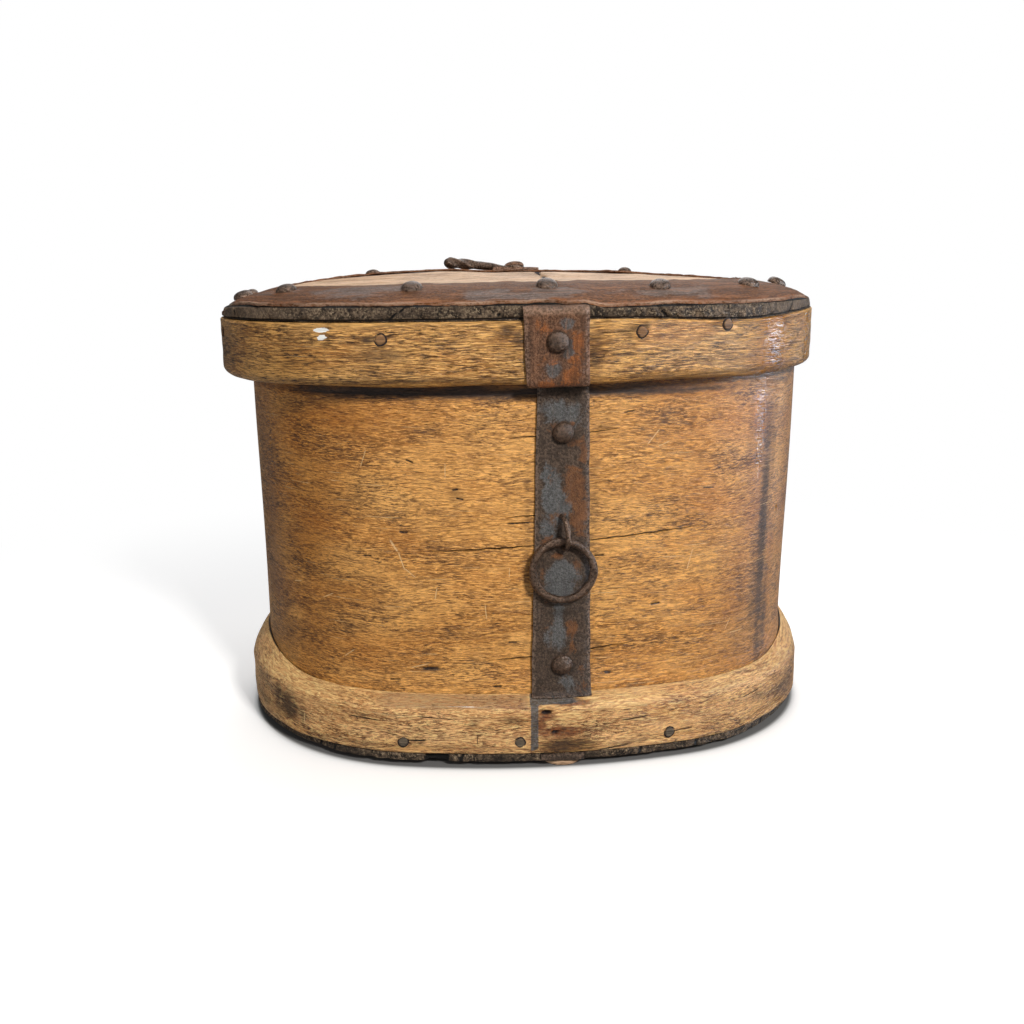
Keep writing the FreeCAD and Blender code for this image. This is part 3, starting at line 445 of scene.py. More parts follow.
def wood(name, light, middle, dark, seed, warm=tone(190, 124, 50), fibre=1.0, gloss=0.46, relief=1.0,
         dirt=0.5, short=1.0, scratches=(), dents=(), residue=False):
    """Old bare or waxed wood with long fibres along u, worn, scratched and spotted with dirt.

    fibre and relief say how strongly its fibres are coloured and raised, and short how short they run.
    """
    sh = Shader(name)
    deep, shine = scaled(dark, 0.42), scaled(light, 1.5)
    bent = sh.wander(0.007, seed + 2)

    def fibrous(along, across, offset, *noise):
        return sh.noise(sh.grain(along, across, seed + offset, bent=bent), *noise)

    drift = sh.noise(sh.grain(9, 24, seed), 4, 0.6)
    cloud = sh.noise(sh.grain(26, 70, seed + 5), 5, 0.7, 0.6)
    figure = fibrous(16 * short, 250, 3, 4, 0.62, 0.9)
    fibres = fibrous(80 * short, 1050, 7, 4, 0.70, 0.8)
    hairs = fibrous(130 * short, 2000, 11, 3, 0.66, 0.5)
    flecks = fibrous(240 * short, 900, 13, 4, 0.74, 0.8)
    broken = sh.add(fibrous(90, 330, 29, 5, 0.80), -0.5)
    speckle = sh.noise(sh.grain(330, 560, seed + 19), 4, 0.75)

    # The wood itself, from its broad figure down to its finest fibres.
    colour = sh.between(drift, 0.40, 0.60, middle, light)
    for tint, share, value, low, high in (
            (dark, 0.45, cloud, 0.52, 0.64), (light, 0.45, cloud, 0.47, 0.38),
            (dark, 0.50, figure, 0.50, 0.62), (light, 0.40, figure, 0.48, 0.38)):
        colour = sh.over(colour, tint, share, value, low, high)
    warm_share = sh.times(sh.steps(sh.noise(sh.grain(16, 40, seed + 17), 4, 0.65), 0.50, 0.62), 0.45)
    # The warm mark is warmer wood, and at the box's left end a painted warm reflection.
    warm_share = sh.add(warm_share, sh.times(sh.mark("warm"), 0.50), clamp=True)
    colour = sh.mix(sh.times(warm_share, sh.steps(fibres, 0.25, 0.6, 0.7, 1.0)), colour, warm)
    rougher = sh.steps(cloud, 0.40, 0.62, 0.45, 1.25)
    for tint, share, value, low, high, more in (
            (dark, 0.85, fibres, 0.51, 0.58, rougher), (shine, 0.70, fibres, 0.47, 0.40, 1.0),
            (deep, 0.85, hairs, 0.55, 0.61, rougher), (shine, 0.80, hairs, 0.44, 0.38, 1.0),
            (deep, 0.55, flecks, 0.58, 0.64, rougher)):
        colour = sh.over(colour, tint, share * fibre, value, low, high, more)

    # Browner tone with painted shade, dirt with painted shadow, pale wear with painted highlights, and the
    # rub of iron.
    # The shade mark darkens towards a browner tone: partly the wood's own tone, partly painted shade, as
    # under the lid's edge and at the wall's left.
    colour = sh.mix(sh.mark("shade"), colour, TONE_AND_SHADE_TINT, "MULTIPLY")
    patches = sh.noise(sh.grain(26, 62, seed + 23), 4, 0.65)
    grime = sh.times(sh.steps(speckle, 0.53, 0.64), sh.steps(patches, 0.46, 0.62), dirt)
    # The dark mark is partly stains and partly painted shadow, under the lid's edge on the wall and along the
    # lid band's lower edge.
    stain_and_shadow = sh.largest(grime, sh.ragged("dark", broken, 3.6, 0.10, 0.85, 0.85))
    colour = sh.mix(stain_and_shadow, colour, SOIL_AND_SHADOW)
    pale_wear_and_highlight = sh.between(fibres, 0.35, 0.65, shine, middle)
    colour = sh.mix(sh.ragged("pale", broken, 1.6, 0.15, 0.95, 0.65), colour, pale_wear_and_highlight)
    rub = sh.steps(sh.add(fibres, sh.times(speckle, 0.4)), 0.40, 0.80, 0.9, 0.3)
    colour = sh.mix(sh.times(sh.mark("rub"), rub), colour, RUBBED)

    # Scratches, stains of rust, cuts, paint and painted glints.
    worn = [sh.stroke(*scratch) for scratch in scratches]
    for turn, offset, along, across in FINE_SCRATCHES:
        line = sh.steps(sh.noise(sh.grain(along, across, offset + seed, turn), 1, 0.5), 0.695, 0.73)
        where = sh.steps(sh.noise(sh.grain(38, 38, offset), 1, 0.5), 0.52, 0.60)
        worn.append(sh.times(line, where))
    worn = sh.times(sh.largest(*worn), sh.steps(flecks, 0.66, 0.45, 0.35, 1.0))
    colour = sh.mix(sh.times(worn, 0.85), colour, SCRATCHED)
    if residue:
        colour = sh.mix(sh.ragged("rust", broken, 2.2, 0.20, 0.75, 0.85), colour,
                        sh.between(flecks, 0.40, 0.62, *WOOD_RUST))
        colour = sh.mix(sh.ragged("blue", broken, 1.8, 0.30, 0.70, 0.90), colour,
                        sh.between(flecks, 0.42, 0.60, *IRON_FILM))
    # The groove mark darkens cracks, dents and joints, and also holds painted shadows: under the lid's edge,
    # under the iron ring and along the lid board's rim.
    cuts_and_shadow = sh.mark("groove")
    for dent in dents:
        cuts_and_shadow = sh.largest(cuts_and_shadow, sh.times(sh.stroke(*dent), sh.steps(flecks, 0.35, 0.55, 1.0, 0.6)))
    colour = sh.mix(sh.steps(cuts_and_shadow, 0.25, 0.75), colour, SPLIT_AND_SHADOW)
    # The paint mark holds white paint specks on the lid and painted white glints on the base band's ridge.
    paint = sh.steps(sh.add(sh.mark("paint"), sh.times(broken, 0.5)), 0.45, 0.60)
    colour = sh.mix(paint, colour, WHITE_PAINT_AND_GLINT)

    height = sh.add(sh.times(figure, 0.45), sh.times(fibres, -0.75 * fibre),
                    sh.times(sh.largest(sh.steps(hairs, 0.58, 0.68), worn), -0.30),
                    sh.times(flecks, -0.35), sh.times(cuts_and_shadow, -1.2))
    waxed = sh.mark("gloss")
    normal = sh.bump(height, 0.0009 * relief, sh.steps(waxed, 0.0, 1.0, 1.0, 0.5))
    rough = sh.add(sh.times(drift, 0.18), gloss - 0.11, sh.times(sh.steps(fibres, 0.50, 0.66), 0.14),
                   sh.times(waxed, -0.24))
    rough = sh.add(rough, sh.times(stain_and_shadow, 0.25), clamp=True)
    return sh.surface(colour, rough, normal, Specular_IOR_Level=0.5)


# What lies on the irons: soot with painted shadow, the bright metal of rubbed edges with painted highlights,
# and the dark of an open joint.
SOOT_AND_SHADOW, OPEN_JOINT = tone(30, 25, 22), tone(12, 8, 6)
BARE_METAL_AND_HIGHLIGHT, RUBBED_EDGE_AND_HIGHLIGHT = tone(200, 166, 140), tone(168, 140, 120)


def scaled(colour, factor):
    """A colour made lighter or darker."""
    return tuple(min(1.0, channel * factor) for channel in colour)


# What lies on the woods: dirt with painted shadow, white paint with painted glints, rust, the film of a lost
# iron strap, bare or split fibres with painted shadow, and a browner tone with painted shade.
SOIL_AND_SHADOW, WHITE_PAINT_AND_GLINT = tone(46, 31, 18), tone(252, 252, 248)
SCRATCHED, SPLIT_AND_SHADOW, RUBBED = tone(226, 188, 134), tone(26, 13, 12), tone(116, 84, 68)
WOOD_RUST, IRON_FILM = (tone(74, 36, 16), tone(146, 82, 36)), (tone(44, 46, 48), tone(96, 98, 100))
TONE_AND_SHADE_TINT = (0.62, 0.49, 0.25)
# Families of fine scratches: turn in radians, offset, cells per metre along and across.
FINE_SCRATCHES = ((0.5, 31.0, 22.0, 1500.0), (-0.9, 37.0, 18.0, 1300.0), (1.35, 41.0, 26.0, 1500.0))


def iron(name, base, rust, blue, seed, rust_share=0.5, blue_share=0.4, rough=0.58, metal=0.30, relief=1.0,
         rolled=False, shine=0.45, lines=0.0):
    """Old forged iron: dull and pitted, with brown rust and blue-grey patches of bare scale.

    rolled draws its patches along the sheet, and lines is how strongly the sheet is streaked.
    """
    sh = Shader(name)

    def cells(scale, offset, *noise):
        place = sh.grain(scale * 0.5, scale, seed + offset) if rolled else sh.space(scale, seed + offset)
        return sh.noise(place, *noise)

    broad = cells(60, 0, 5, 0.65, 0.5)
    patch = cells(110, 5, 6, 0.70, 0.8)
    streak = cells(240, 17, 5, 0.72, 0.6)
    pits = cells(820, 9, 4, 0.70)
    fine = cells(2100, 13, 3, 0.65)
    dither = sh.add(sh.times(pits, 0.20), sh.times(fine, 0.10))

    def patches(value, mark, middle):
        value = sh.add(value, sh.times(sh.mark(mark), 0.42), dither)
        return sh.times(sh.steps(value, *middle), 0.85)

    colour = sh.between(pits, 0.42, 0.58, scaled(base, 0.52), scaled(base, 1.40))
    colour = sh.over(colour, scaled(base, 0.42), 0.60, streak, 0.49, 0.60)
    # Blue-grey scale; on the ring the blue mark also paints a bluish sheen.
    grey = patches(broad, "blue", (0.86 - 0.32 * blue_share, 0.99 - 0.32 * blue_share))
    colour = sh.mix(grey, colour, sh.between(pits, 0.42, 0.60, scaled(blue, 0.70), scaled(blue, 1.25)))
    red = patches(patch, "rust", (0.90 - 0.32 * rust_share, 1.04 - 0.32 * rust_share))
    crusted = sh.add(fine, sh.times(streak, 0.6))
    colour = sh.mix(red, colour, sh.between(crusted, 0.68, 0.90, scaled(rust, 0.40), scaled(rust, 1.4)))
    colour = sh.over(colour, scaled(base, 0.20), 0.65, fine, 0.55, 0.62)
    if lines:
        wave = sh.noise(sh.grain(24, 300, seed + 21), 5, 0.74, 0.8)
        colour = sh.over(colour, scaled(base, 0.36), lines, wave, 0.49, 0.58)
        colour = sh.over(colour, scaled(base, 1.9), lines, wave, 0.46, 0.38)
    # The bare mark lightens lips and folds: rubbed metal, and a painted highlight.
    bare = sh.times(sh.mark("bare"), sh.steps(pits, 0.38, 0.56, 0.35, 1.0))
    colour = sh.mix(bare, colour, BARE_METAL_AND_HIGHLIGHT)
    # The dark mark is soot, and painted shadow round rivet and nail heads and under the lid band.
    soot_and_shadow = sh.mark("dark")
    colour = sh.over(colour, SOOT_AND_SHADOW, 0.90, sh.add(soot_and_shadow, sh.times(dither, soot_and_shadow)), 0.30, 1.20)
    # Convex edges are lighter: rubbed metal, and a painted highlight.
    edge = sh.steps(sh.node("ShaderNodeNewGeometry", output=7), 0.515, 0.56)
    colour = sh.mix(sh.times(edge, sh.steps(pits, 0.44, 0.56, 0.0, 0.35)), colour, RUBBED_EDGE_AND_HIGHLIGHT)
    colour = sh.mix(sh.steps(sh.mark("groove"), 0.25, 0.75), colour, OPEN_JOINT)
    height = sh.add(sh.times(broad, 0.8), sh.times(pits, 0.9), sh.times(fine, 0.45), sh.times(streak, 0.35))
    roughness = sh.add(sh.times(pits, 0.36), rough - 0.20)
    roughness = sh.add(roughness, sh.times(red, 0.14), clamp=True)
    return sh.surface(colour, roughness, sh.bump(height, 0.0013 * relief), Metallic=metal,
                      Specular_IOR_Level=shine)


def weathered(name, base, light, dark, seed):
    """The dry, dirty edge of an old board: speckled, pitted and split."""
    sh = Shader(name)
    lumps = sh.noise(sh.space(240, seed), 5, 0.72, 0.6)
    specks = sh.noise(sh.space(820, seed + 3), 4, 0.75)
    lines = sh.noise(sh.grain(70, 620, seed + 7), 4, 0.70, 0.8)
    colour = sh.between(lumps, 0.40, 0.58, dark, base)
    colour = sh.over(colour, dark, 0.60, lines, 0.50, 0.62)
    colour = sh.over(colour, light, 0.75, specks, 0.54, 0.62)
    colour = sh.over(colour, scaled(dark, 0.5), 0.80, specks, 0.46, 0.40)
    # The pale mark lightens the rim's ends: paler wood, and painted light where they turn from the lamps.
    colour = sh.mix(sh.times(sh.mark("pale"), 0.50), colour, scaled(base, 1.25))
    colour = sh.over(colour, dark, 0.75, sh.add(sh.mark("dark"), sh.times(lumps, 0.6)), 0.45, 1.0)
    # The groove mark holds the rim's splits and painted shadow lines at the rim's foot and under the ring's
    # outer edge.
    cuts_and_shadow = sh.mark("groove")
    colour = sh.mix(sh.steps(cuts_and_shadow, 0.20, 0.65), colour, OPEN_JOINT)
    height = sh.add(lumps, sh.times(specks, 0.8), sh.times(lines, -0.5), sh.times(cuts_and_shadow, -0.8))
    return sh.surface(colour, sh.add(sh.times(specks, 0.3), 0.55), sh.bump(height, 0.0016),
                      Specular_IOR_Level=0.35)


# Scratches and drawn cuts: (s, z, angle in degrees, length, width) in millimetres.
WALL_SCRATCHES = (
    (-82.5, 124.5, -58, 9, 0.9), (-78.5, 116.0, -72, 12, 0.5), (-74.0, 109.5, -40, 9, 0.4),
    (-53.6, 166.0, 90, 9, 0.4), (-125.0, 92.0, 25, 10, 0.5), (-150.0, 96.0, 12, 8, 0.6),
    (-60.0, 98.0, 80, 8, 0.5), (-98.0, 172.0, 70, 12, 0.4), (-33.0, 88.0, 95, 10, 0.4),
    (58.0, 182.0, 50, 12, 0.5), (64.0, 178.0, 20, 8, 0.4), (82.0, 112.0, 75, 14, 0.4),
    (-112.0, 60.0, 35, 10, 0.5), (-70.0, 56.0, 15, 12, 0.5), (110.0, 70.0, 60, 9, 0.4),
    (-20.0, 110.0, 88, 6, 0.4), (250.0, 120.0, 60, 16, 0.5), (330.0, 150.0, -40, 14, 0.5),
    (-300.0, 90.0, 30, 18, 0.5), (430.0, 80.0, 75, 12, 0.4),
)
WALL_DENTS = (
    (-77.0, 132.2, -3, 6, 1.1), (-72.5, 171.0, -20, 5, 0.9), (-64.0, 54.6, 2, 12, 1.6),
    (-84.0, 47.5, 3, 8, 0.8), (-48.5, 155.8, 10, 4, 0.9), (-46.0, 150.8, -12, 5, 0.8),
    (-27.0, 44.5, 4, 6, 0.8), (62.0, 88.0, 6, 7, 0.9), (29.0, 118.0, 0, 7, 0.8), (-18.5, 70.0, 0, 6, 0.7),
    (-98.0, 118.0, 4, 6, 0.7), (-15.0, 137.4, 3, 16, 0.8), (44.0, 196.0, 8, 8, 0.6),
    (92.0, 152.0, -4, 9, 0.6), (16.0, 49.5, 0, 5, 1.0), (35.0, 50.0, 0, 5, 1.2),
)
BASE_SCRATCHES = (
    (-136.5, 19.5, 90, 7, 0.7), (-86.0, 31.0, -4, 22, 0.5), (-118.0, 26.0, 60, 5, 0.5),
)
BASE_LINES = (
    (-71.0, 16.3, 2, 13, 0.8), (-98.0, 27.5, -3, 20, 0.5), (-60.0, 30.0, -4, 24, 0.4),
    (48.0, 26.0, 5, 18, 0.5), (-38.0, 17.0, 90, 6, 0.3), (76.0, 16.0, 4, 14, 0.6), (36.0, 9.8, 6, 22, 0.8),
    (120.0, 28.0, 6, 16, 0.5),
)
# Woods: light, middle and dark colour first. Irons: bare, rusty and scaly colour.
honey_wall = wood("honey_wall", tone(214, 158, 86), tone(178, 120, 52), tone(84, 50, 20), seed=1.0,
                  fibre=0.78, gloss=0.40, relief=0.8, short=2.0, scratches=WALL_SCRATCHES, dents=WALL_DENTS)
honey_lid = wood("honey_lid", tone(216, 166, 98), tone(170, 120, 62), tone(60, 36, 15), seed=21.0,
                 fibre=0.90, gloss=0.36, relief=1.3, short=1.3)
honey_base = wood("honey_base", tone(240, 184, 124), tone(208, 148, 92), tone(98, 62, 34), seed=43.0,
                  fibre=0.90, gloss=0.46, dirt=0.9, relief=1.2, short=2.2, scratches=BASE_SCRATCHES,
                  dents=BASE_LINES, residue=True)
pale_wood = wood("pale_dry_wood", tone(212, 178, 144), tone(188, 152, 118), tone(122, 88, 62), seed=61.0,
                 warm=tone(186, 136, 88), fibre=0.45, gloss=0.62, dirt=0.45)
board_edge = weathered("dark_board_edge", tone(116, 97, 78), tone(178, 156, 126), tone(34, 25, 18), 77.0)
brown_wood = wood("brown_board", tone(150, 118, 84), tone(118, 88, 60), tone(58, 40, 26), seed=83.0,
                  warm=tone(120, 78, 44), gloss=0.66, dirt=0.9)
peg_wood = wood("peg_end_wood", tone(110, 96, 78), tone(82, 72, 60), tone(44, 36, 28), seed=91.0,
                warm=tone(96, 76, 54), fibre=0.6, gloss=0.70)
lid_peg_wood = wood("lid_peg_end_wood", tone(144, 106, 66), tone(116, 82, 50), tone(70, 46, 26), seed=95.0,
                    fibre=0.7, gloss=0.60)
root = wood("root_fibre", tone(134, 96, 58), tone(104, 70, 40), tone(54, 34, 18), seed=101.0, gloss=0.66)
rusty = iron("rusty_iron", tone(122, 86, 63), tone(166, 100, 52), tone(100, 100, 100), seed=2.0,
             rust_share=0.36, blue_share=0.22, lines=0.42)
rusty_ring = iron("rusty_ring", tone(116, 76, 48), tone(136, 84, 48), tone(118, 106, 100), seed=12.0,
                  rust_share=0.40, blue_share=0.36, rough=0.60, metal=0.10, rolled=True, shine=0.16,
                  lines=0.60)
grey = iron("blue_grey_iron", tone(88, 72, 60), tone(134, 88, 54), tone(106, 108, 109), seed=4.0,
            rust_share=0.24, blue_share=0.24, rough=0.50, metal=0.25, lines=0.16)
dark_iron = iron("dark_iron", tone(88, 68, 54), tone(112, 76, 50), tone(104, 98, 94), seed=8.0,
                 rust_share=0.30, blue_share=0.24, rough=0.33, metal=0.55, relief=0.5, shine=0.6)

# ------------------------------------------------------------------ the bent wall
# Level cracks of the wall: (s from, z from, s to, z to, half width). Cracks of one level share three
# rows of the mesh, so that each is a real groove.
CRACK_LEVELS = (
    ((-21, 183.6, 12, 184.6, 0.35), (4, 184.4, 40, 187.4, 0.25)),
    ((-23, 141.0, 8, 142.6, 0.35),),
    ((-70, 121.5, 12, 125.9, 0.40), (4, 125.4, 90.4, 131.2, 0.42)),
    ((-33.3, 59.3, 10, 62.8, 0.40), (4, 62.2, 52, 67.0, 0.40)),
)


def crack_path(level, s):
    """Height, half width and depth of a level's cracks at s."""
    knots = sorted(point for s0, z0, s1, z1, _ in level for point in ((s0, z0), (s1, z1)))
    path = np.interp(s, [k[0] for k in knots], [k[1] for k in knots])
    path = path + 0.18 * np.sin(s * 0.55) * np.sin(s * 0.171 + 1.0)
    half, depth = np.full_like(s, 0.2), np.zeros_like(s)
    for s0, _, s1, _, width in level:
        taper = np.clip(np.minimum(s - s0, s1 - s) / (0.35 * (s1 - s0)), 0, 1) ** 0.7
        half = np.maximum(half, width * taper)
        depth = np.maximum(depth, taper)
    return path, half, depth


def wall_lean(z):
    """How far the wall's face draws in towards its foot."""
    return -1.1 * smooth(z, 200, 60) * smooth(z, 41, 56)


def wall_rows(middles):
    """Rows of the wall's outer face: (height, level of cracks or None, place across the crack)."""
    heights = np.concatenate([[BOARD_TOP, 20.0, 34.0], np.linspace(BASE_TOP - 1, WALL_TOP - 1.2, 78)])
    rows = [(z, None, 0.0) for z in heights if all(abs(z - middle) > 2.2 for middle in middles)]
    for k, middle in enumerate(middles):
        rows += [(middle + side * 0.9, k, side * 2.4) for side in (-1, 1)]
        rows += [(middle + side * 0.01, k, side * share) for side in (-1, 1) for share in (0.12, 1.0)]
    return sorted(rows, key=lambda row: row[0] + 0.001 * row[2])


def make_wall():
    """The bent wall: its outer face cut by cracks, its top edge rounded, its inner face plain."""
    s = np.unique(np.concatenate([even_s(420), np.linspace(-75, 90, 220)]))
    levels = [crack_path(level, s) for level in CRACK_LEVELS]
    middles = [path.mean() for path, _, _ in levels]
    heights, depths = [], []
    for z, k, place in wall_rows(middles):
        bend = sum((path - middle) * np.exp(-((z - middle) / 13.0) ** 2)
                   for (path, _, _), middle in zip(levels, middles))
        row, depth = z + bend, np.zeros_like(s)
        if k is not None:
            _, half, crack = levels[k]
            row = middles[k] + bend + half * place
            depth = crack * (abs(place) < 0.5)
        heights.append(row)
        depths.append(depth)
    rim = [(-0.4, WALL_TOP - 0.5), (-1.2, WALL_TOP), (-3.8, WALL_TOP), (-4.6, WALL_TOP - 0.4)]
    inside = np.array(rim + [(-WALL, z) for z in np.linspace(WALL_TOP - 1.5, BOARD_TOP, 24)])
    _, inside_reach, inside_z = spread(s, inside)
    face_z = np.stack(heights, -1)
    z = np.concatenate([face_z, inside_z], 1)
    v = np.concatenate([face_z, WALL_TOP + section_lengths(*inside.T) + 0 * inside_z], 1)
    deep = np.concatenate([np.stack(depths, -1), 0 * inside_z], 1)
    grid_s = np.repeat(s[:, None], z.shape[1], 1)
    face = np.arange(z.shape[1])[None, :] < face_z.shape[1]
    wave = 0.28 * ripple(grid_s, z, 170, 160, 3) * smooth(z, 42, 60) * smooth(z, 232, 215)
    reach = np.concatenate([0 * face_z, inside_reach], 1)
    reach = reach + wall_lean(z) + np.where(face, wave - 1.3 * deep, wave * 0.5)
    reach = np.where(z < BASE_TOP + 1, np.minimum(reach, 0.02), reach)
    marks = {key: blob(grid_s, z, spots) * face for key, spots in WALL_SPOTS.items()}
    marks["shade"] = wall_shade(grid_s, z) * face
    # The groove mark holds the cracks and the painted shadow under the lid's edge.
    marks["groove"] = np.maximum(deep, lid_edge_shadow(grid_s, z)) * face
    built = Builder()
    built.grid(ring_points(s, reach, z, BOX_X), s[:, None], v, wrap_rows=True, wrap_columns=True,
               wrap_u=2 * HALF_ROUND, wrap_v=520.0, **marks)
    built.make("bent_wall_shell", "box", honey_wall, ["bent_wall"], sharp=50)


def lid_edge_shadow(s, z):
    """A painted shadow on the wall: a black band along the lid's lower edge, fading upwards under the lid."""
    strength = np.interp(s, (-205, -165, -125, 40, 80, 120), (0, 0.24, 0.66, 0.66, 0.48, 0))
    fading = smooth(z + 2.0 * ripple(s, z, 40, 18, 6), 222, 207)
    return strength * smooth(z, 203.6, 204.9) * fading


def wall_shade(s, z):
    """Darker, browner wood and painted shade: at the box's left, where the wall turns from the lamps, down
    its right end, and as a painted shadow under the lid's edge.
    """
    lid_edge_shade = 0.95 * smooth(z, 202.5, 204.5) * smooth(z, 216, 212) * smooth(s, 190, 60)
    return np.minimum(np.maximum(lid_edge_shade, blob(s, z, WALL_SHADE)) + 0.10 * ripple(s, z, 60, 40, 5), 1)


# Spots of browner tone and painted shade on the wall: (s, z, half length, half height, strength).
WALL_SHADE = (
    (133, 180, 15, 70, 1.0), (-140, 130, 34, 120, 0.85), (-175, 120, 30, 130, 0.75),
    (-215, 130, 20, 140, 0.35), (150, 80, 14, 60, 1.0), (120, 50, 46, 12, 0.6), (168, 130, 12, 120, 0.7),
    (-120, 192, 60, 16, 0.7), (-110, 62, 34, 22, 0.45), (138, 100, 9, 110, 0.85), (122, 72, 30, 32, 0.55),
    (185, 120, 18, 120, 0.65), (100, 192, 40, 12, 0.35), (-62, 82, 30, 12, 0.3), (84, 140, 16, 30, 0.3),
    (-80, 128, 20, 8, 0.25),
)
# Spots on the wall, some of them painted shadow and a painted warm reflection: (s, z, half length, half
# height, strength).
WALL_SPOTS = {
    # Dark spots are stains, except the long thin ones at heights 205 to 210, a painted shadow under the lid's
    # edge.
    "dark": (
        (-190, 130, 26, 100, 0.38), (139, 110, 5.5, 90, 0.95), (146, 70, 5, 34, 0.7), (132, 84, 7, 44, 0.55),
        (118, 90, 9, 50, 0.35), (146, 170, 5, 60, 0.4), (-170, 130, 30, 90, 0.25), (196, 130, 26, 110, 0.4),
        (150, 207, 50, 5, 0.5), (-87, 205, 70, 4, 0.5), (-15, 206, 60, 3.0, 1.0), (60, 206.5, 60, 2.4, 0.9),
        (-90, 206, 60, 2.6, 0.9), (-48, 153, 6, 5, 0.65), (-40, 144, 20, 3, 0.5), (-10, 120, 3.5, 70, 0.42),
        (26, 150, 5, 50, 0.42), (31, 190, 9, 10, 0.45), (27, 112, 6, 10, 0.3), (30, 62, 6, 14, 0.45),
        (120, 60, 26, 22, 0.32), (-110, 77, 14, 5, 0.4), (-165, 60, 14, 20, 0.35), (-64, 54.6, 8, 1.6, 0.8),
        (68, 108, 12, 5, 0.35), (400, 120, 50, 90, 0.35), (-390, 60, 60, 30, 0.4), (300, 210, 80, 12, 0.4),
        (-300, 208, 80, 8, 0.4),
    ),
    "pale": (
        (-35, 150, 42, 55, 0.55), (45, 172, 36, 36, 0.5), (-152, 76, 8, 5, 0.9), (62, 96, 40, 34, 0.4),
        (-95, 100, 20, 14, 0.35), (-60, 96, 6, 5, 0.6), (-146, 98, 10, 5, 0.6), (90, 70, 26, 14, 0.3),
        (-60, 48, 60, 5, 0.45), (70, 47, 50, 5, 0.5), (156, 80, 8, 60, 0.45),
    ),
    # Warmer wood; the strong spot at s -222 is a painted warm reflection at the left end.
    "warm": (
        (92, 148, 26, 18, 0.75), (60, 112, 26, 10, 0.7), (-112, 60, 26, 8, 0.6), (-160, 190, 30, 40, 0.55),
        (-100, 192, 40, 9, 0.7), (120, 108, 14, 26, 0.7), (-180, 150, 16, 60, 0.65), (-84, 172, 24, 10, 0.5),
        (86, 94, 12, 6, 0.8), (-130, 130, 24, 20, 0.4), (-40, 120, 40, 10, 0.35), (108, 190, 20, 10, 0.5),
        (-222, 130, 14, 120, 1.6), (300, 140, 50, 30, 0.5), (-420, 120, 50, 40, 0.5),
    ),
    "gloss": (
        (130, 190, 6, 60, 0.7), (156, 130, 10, 120, 0.4), (-172, 150, 16, 80, 0.5),
    ),
}
# ------------------------------------------------------------------ base band
def base_rise(s):
    """How much higher the band's inner top edge stands at the box's ends than at its long sides."""
    run = np.abs(s)
    return 12.5 * smooth(run, 135, 225) * smooth(run, 372, 285)


def base_wave(s, z):
    """How far the band's face stands out or in: it is hand-bent and has dents."""
    return 0.35 * ripple(s, z, 90, 60, 11) + 0.16 * ripple(s, z, 24, 14, 12) - 0.9 * blob(s, z, BASE_DENTS)


def base_shape(s, reach, z):
    """The band's uneven face, its nail holes and its rising upper edge."""
    outside = smooth(reach, 0.4, 3.0)
    holes = blob(s, z, BASE_HOLES)
    low = 0.5 * ripple(s, s * 0, 60, 9, 13) * smooth(z, 14, 9) * outside
    reach = np.minimum(reach + outside * base_wave(s, z), 10.9) - 3.0 * holes * smooth(reach, 6, 9)
    slope = np.clip((BASE_REACH - reach) / 9.9, 0, 1) ** 0.85 * smooth(z, 31.0, 34.0)
    height = z + np.maximum(low, -0.02) * 0.8 + base_rise(s) * slope
    return reach + wall_lean(height) * smooth(reach, 2.2, 0.6) * (z > 35), height


def base_marks(s, reach, z):
    """The band's spots, its pale worn top with a painted highlight along its inner edge, and what the lost
    end of the front strap has left on it.
    """
    marks = {key: blob(s, z, spots) for key, spots in BASE_SPOTS.items()}
    marks["dark"] *= smooth(reach, 0.3, 1.5)
    marks["warm"] *= smooth(reach, 5, 8)
    worn = smooth(reach, 0.8, 2.0) * (0.55 + 0.25 * ripple(s, z, 60, 40, 14))
    # A painted highlight along the band's inner top edge.
    inner_edge = 1.2 * smooth(reach, 2.2, 1.2) * smooth(reach, 0.2, 0.5)
    marks["pale"] += smooth(z, 33.5, 36.5) * (worn + inner_edge)
    marks["rub"] = smooth(z, 34.6, 35.8) * smooth(reach, 0.6, 1.6) * smooth(s, -100, -84) * smooth(s, -8, -12)
    on_top = smooth(s, -10.5, -9) * smooth(s, 24, 8) * smooth(z, 36.0, 37.2) * smooth(reach, 0.4, 1.2)
    down_face = smooth(s, -10, -9) * smooth(s, -4.2, -6.6) * smooth(z, 9, 12)
    marks["blue"] = np.maximum(on_top, down_face)
    marks["shade"] = np.clip(marks["shade"] + 0.12 * ripple(s, z, 50, 30, 15), 0, 1)
    at_wall = 0.9 * smooth(0.45 - reach, 0.0, 0.4) * smooth(z, 38.5, 39.8)
    marks["groove"] = np.maximum(at_wall, 1.4 * blob(s, z, BASE_HOLES))
    return marks


def make_base_band():
    section = [(0.1, BOARD_TOP + 0.2)] + polyline([(1.2, BOARD_TOP), (8.4, BOARD_TOP)], 2.4)
    section += arc(8.9, BOARD_TOP + 1.5, 1.4, -80, 0, 4)
    section += polyline([(BASE_REACH, BOARD_TOP + 3.5), (BASE_REACH, 31.6)], 1.5)
    section += arc(4.9, 32.2, 5.4, 6, 72, 9)
    section += polyline([(5.2, 38.3), (1.4, 39.9)], 1.0)
    section += [(0.5, 40.2), (0.05, 39.9)] + [(0.1, z) for z in np.linspace(36, 12, 5)]
    band("base_band_shell", section, "box", honey_base, ["base_band"], BOX_X, base_shape, base_marks,
         v_start=-1.4)


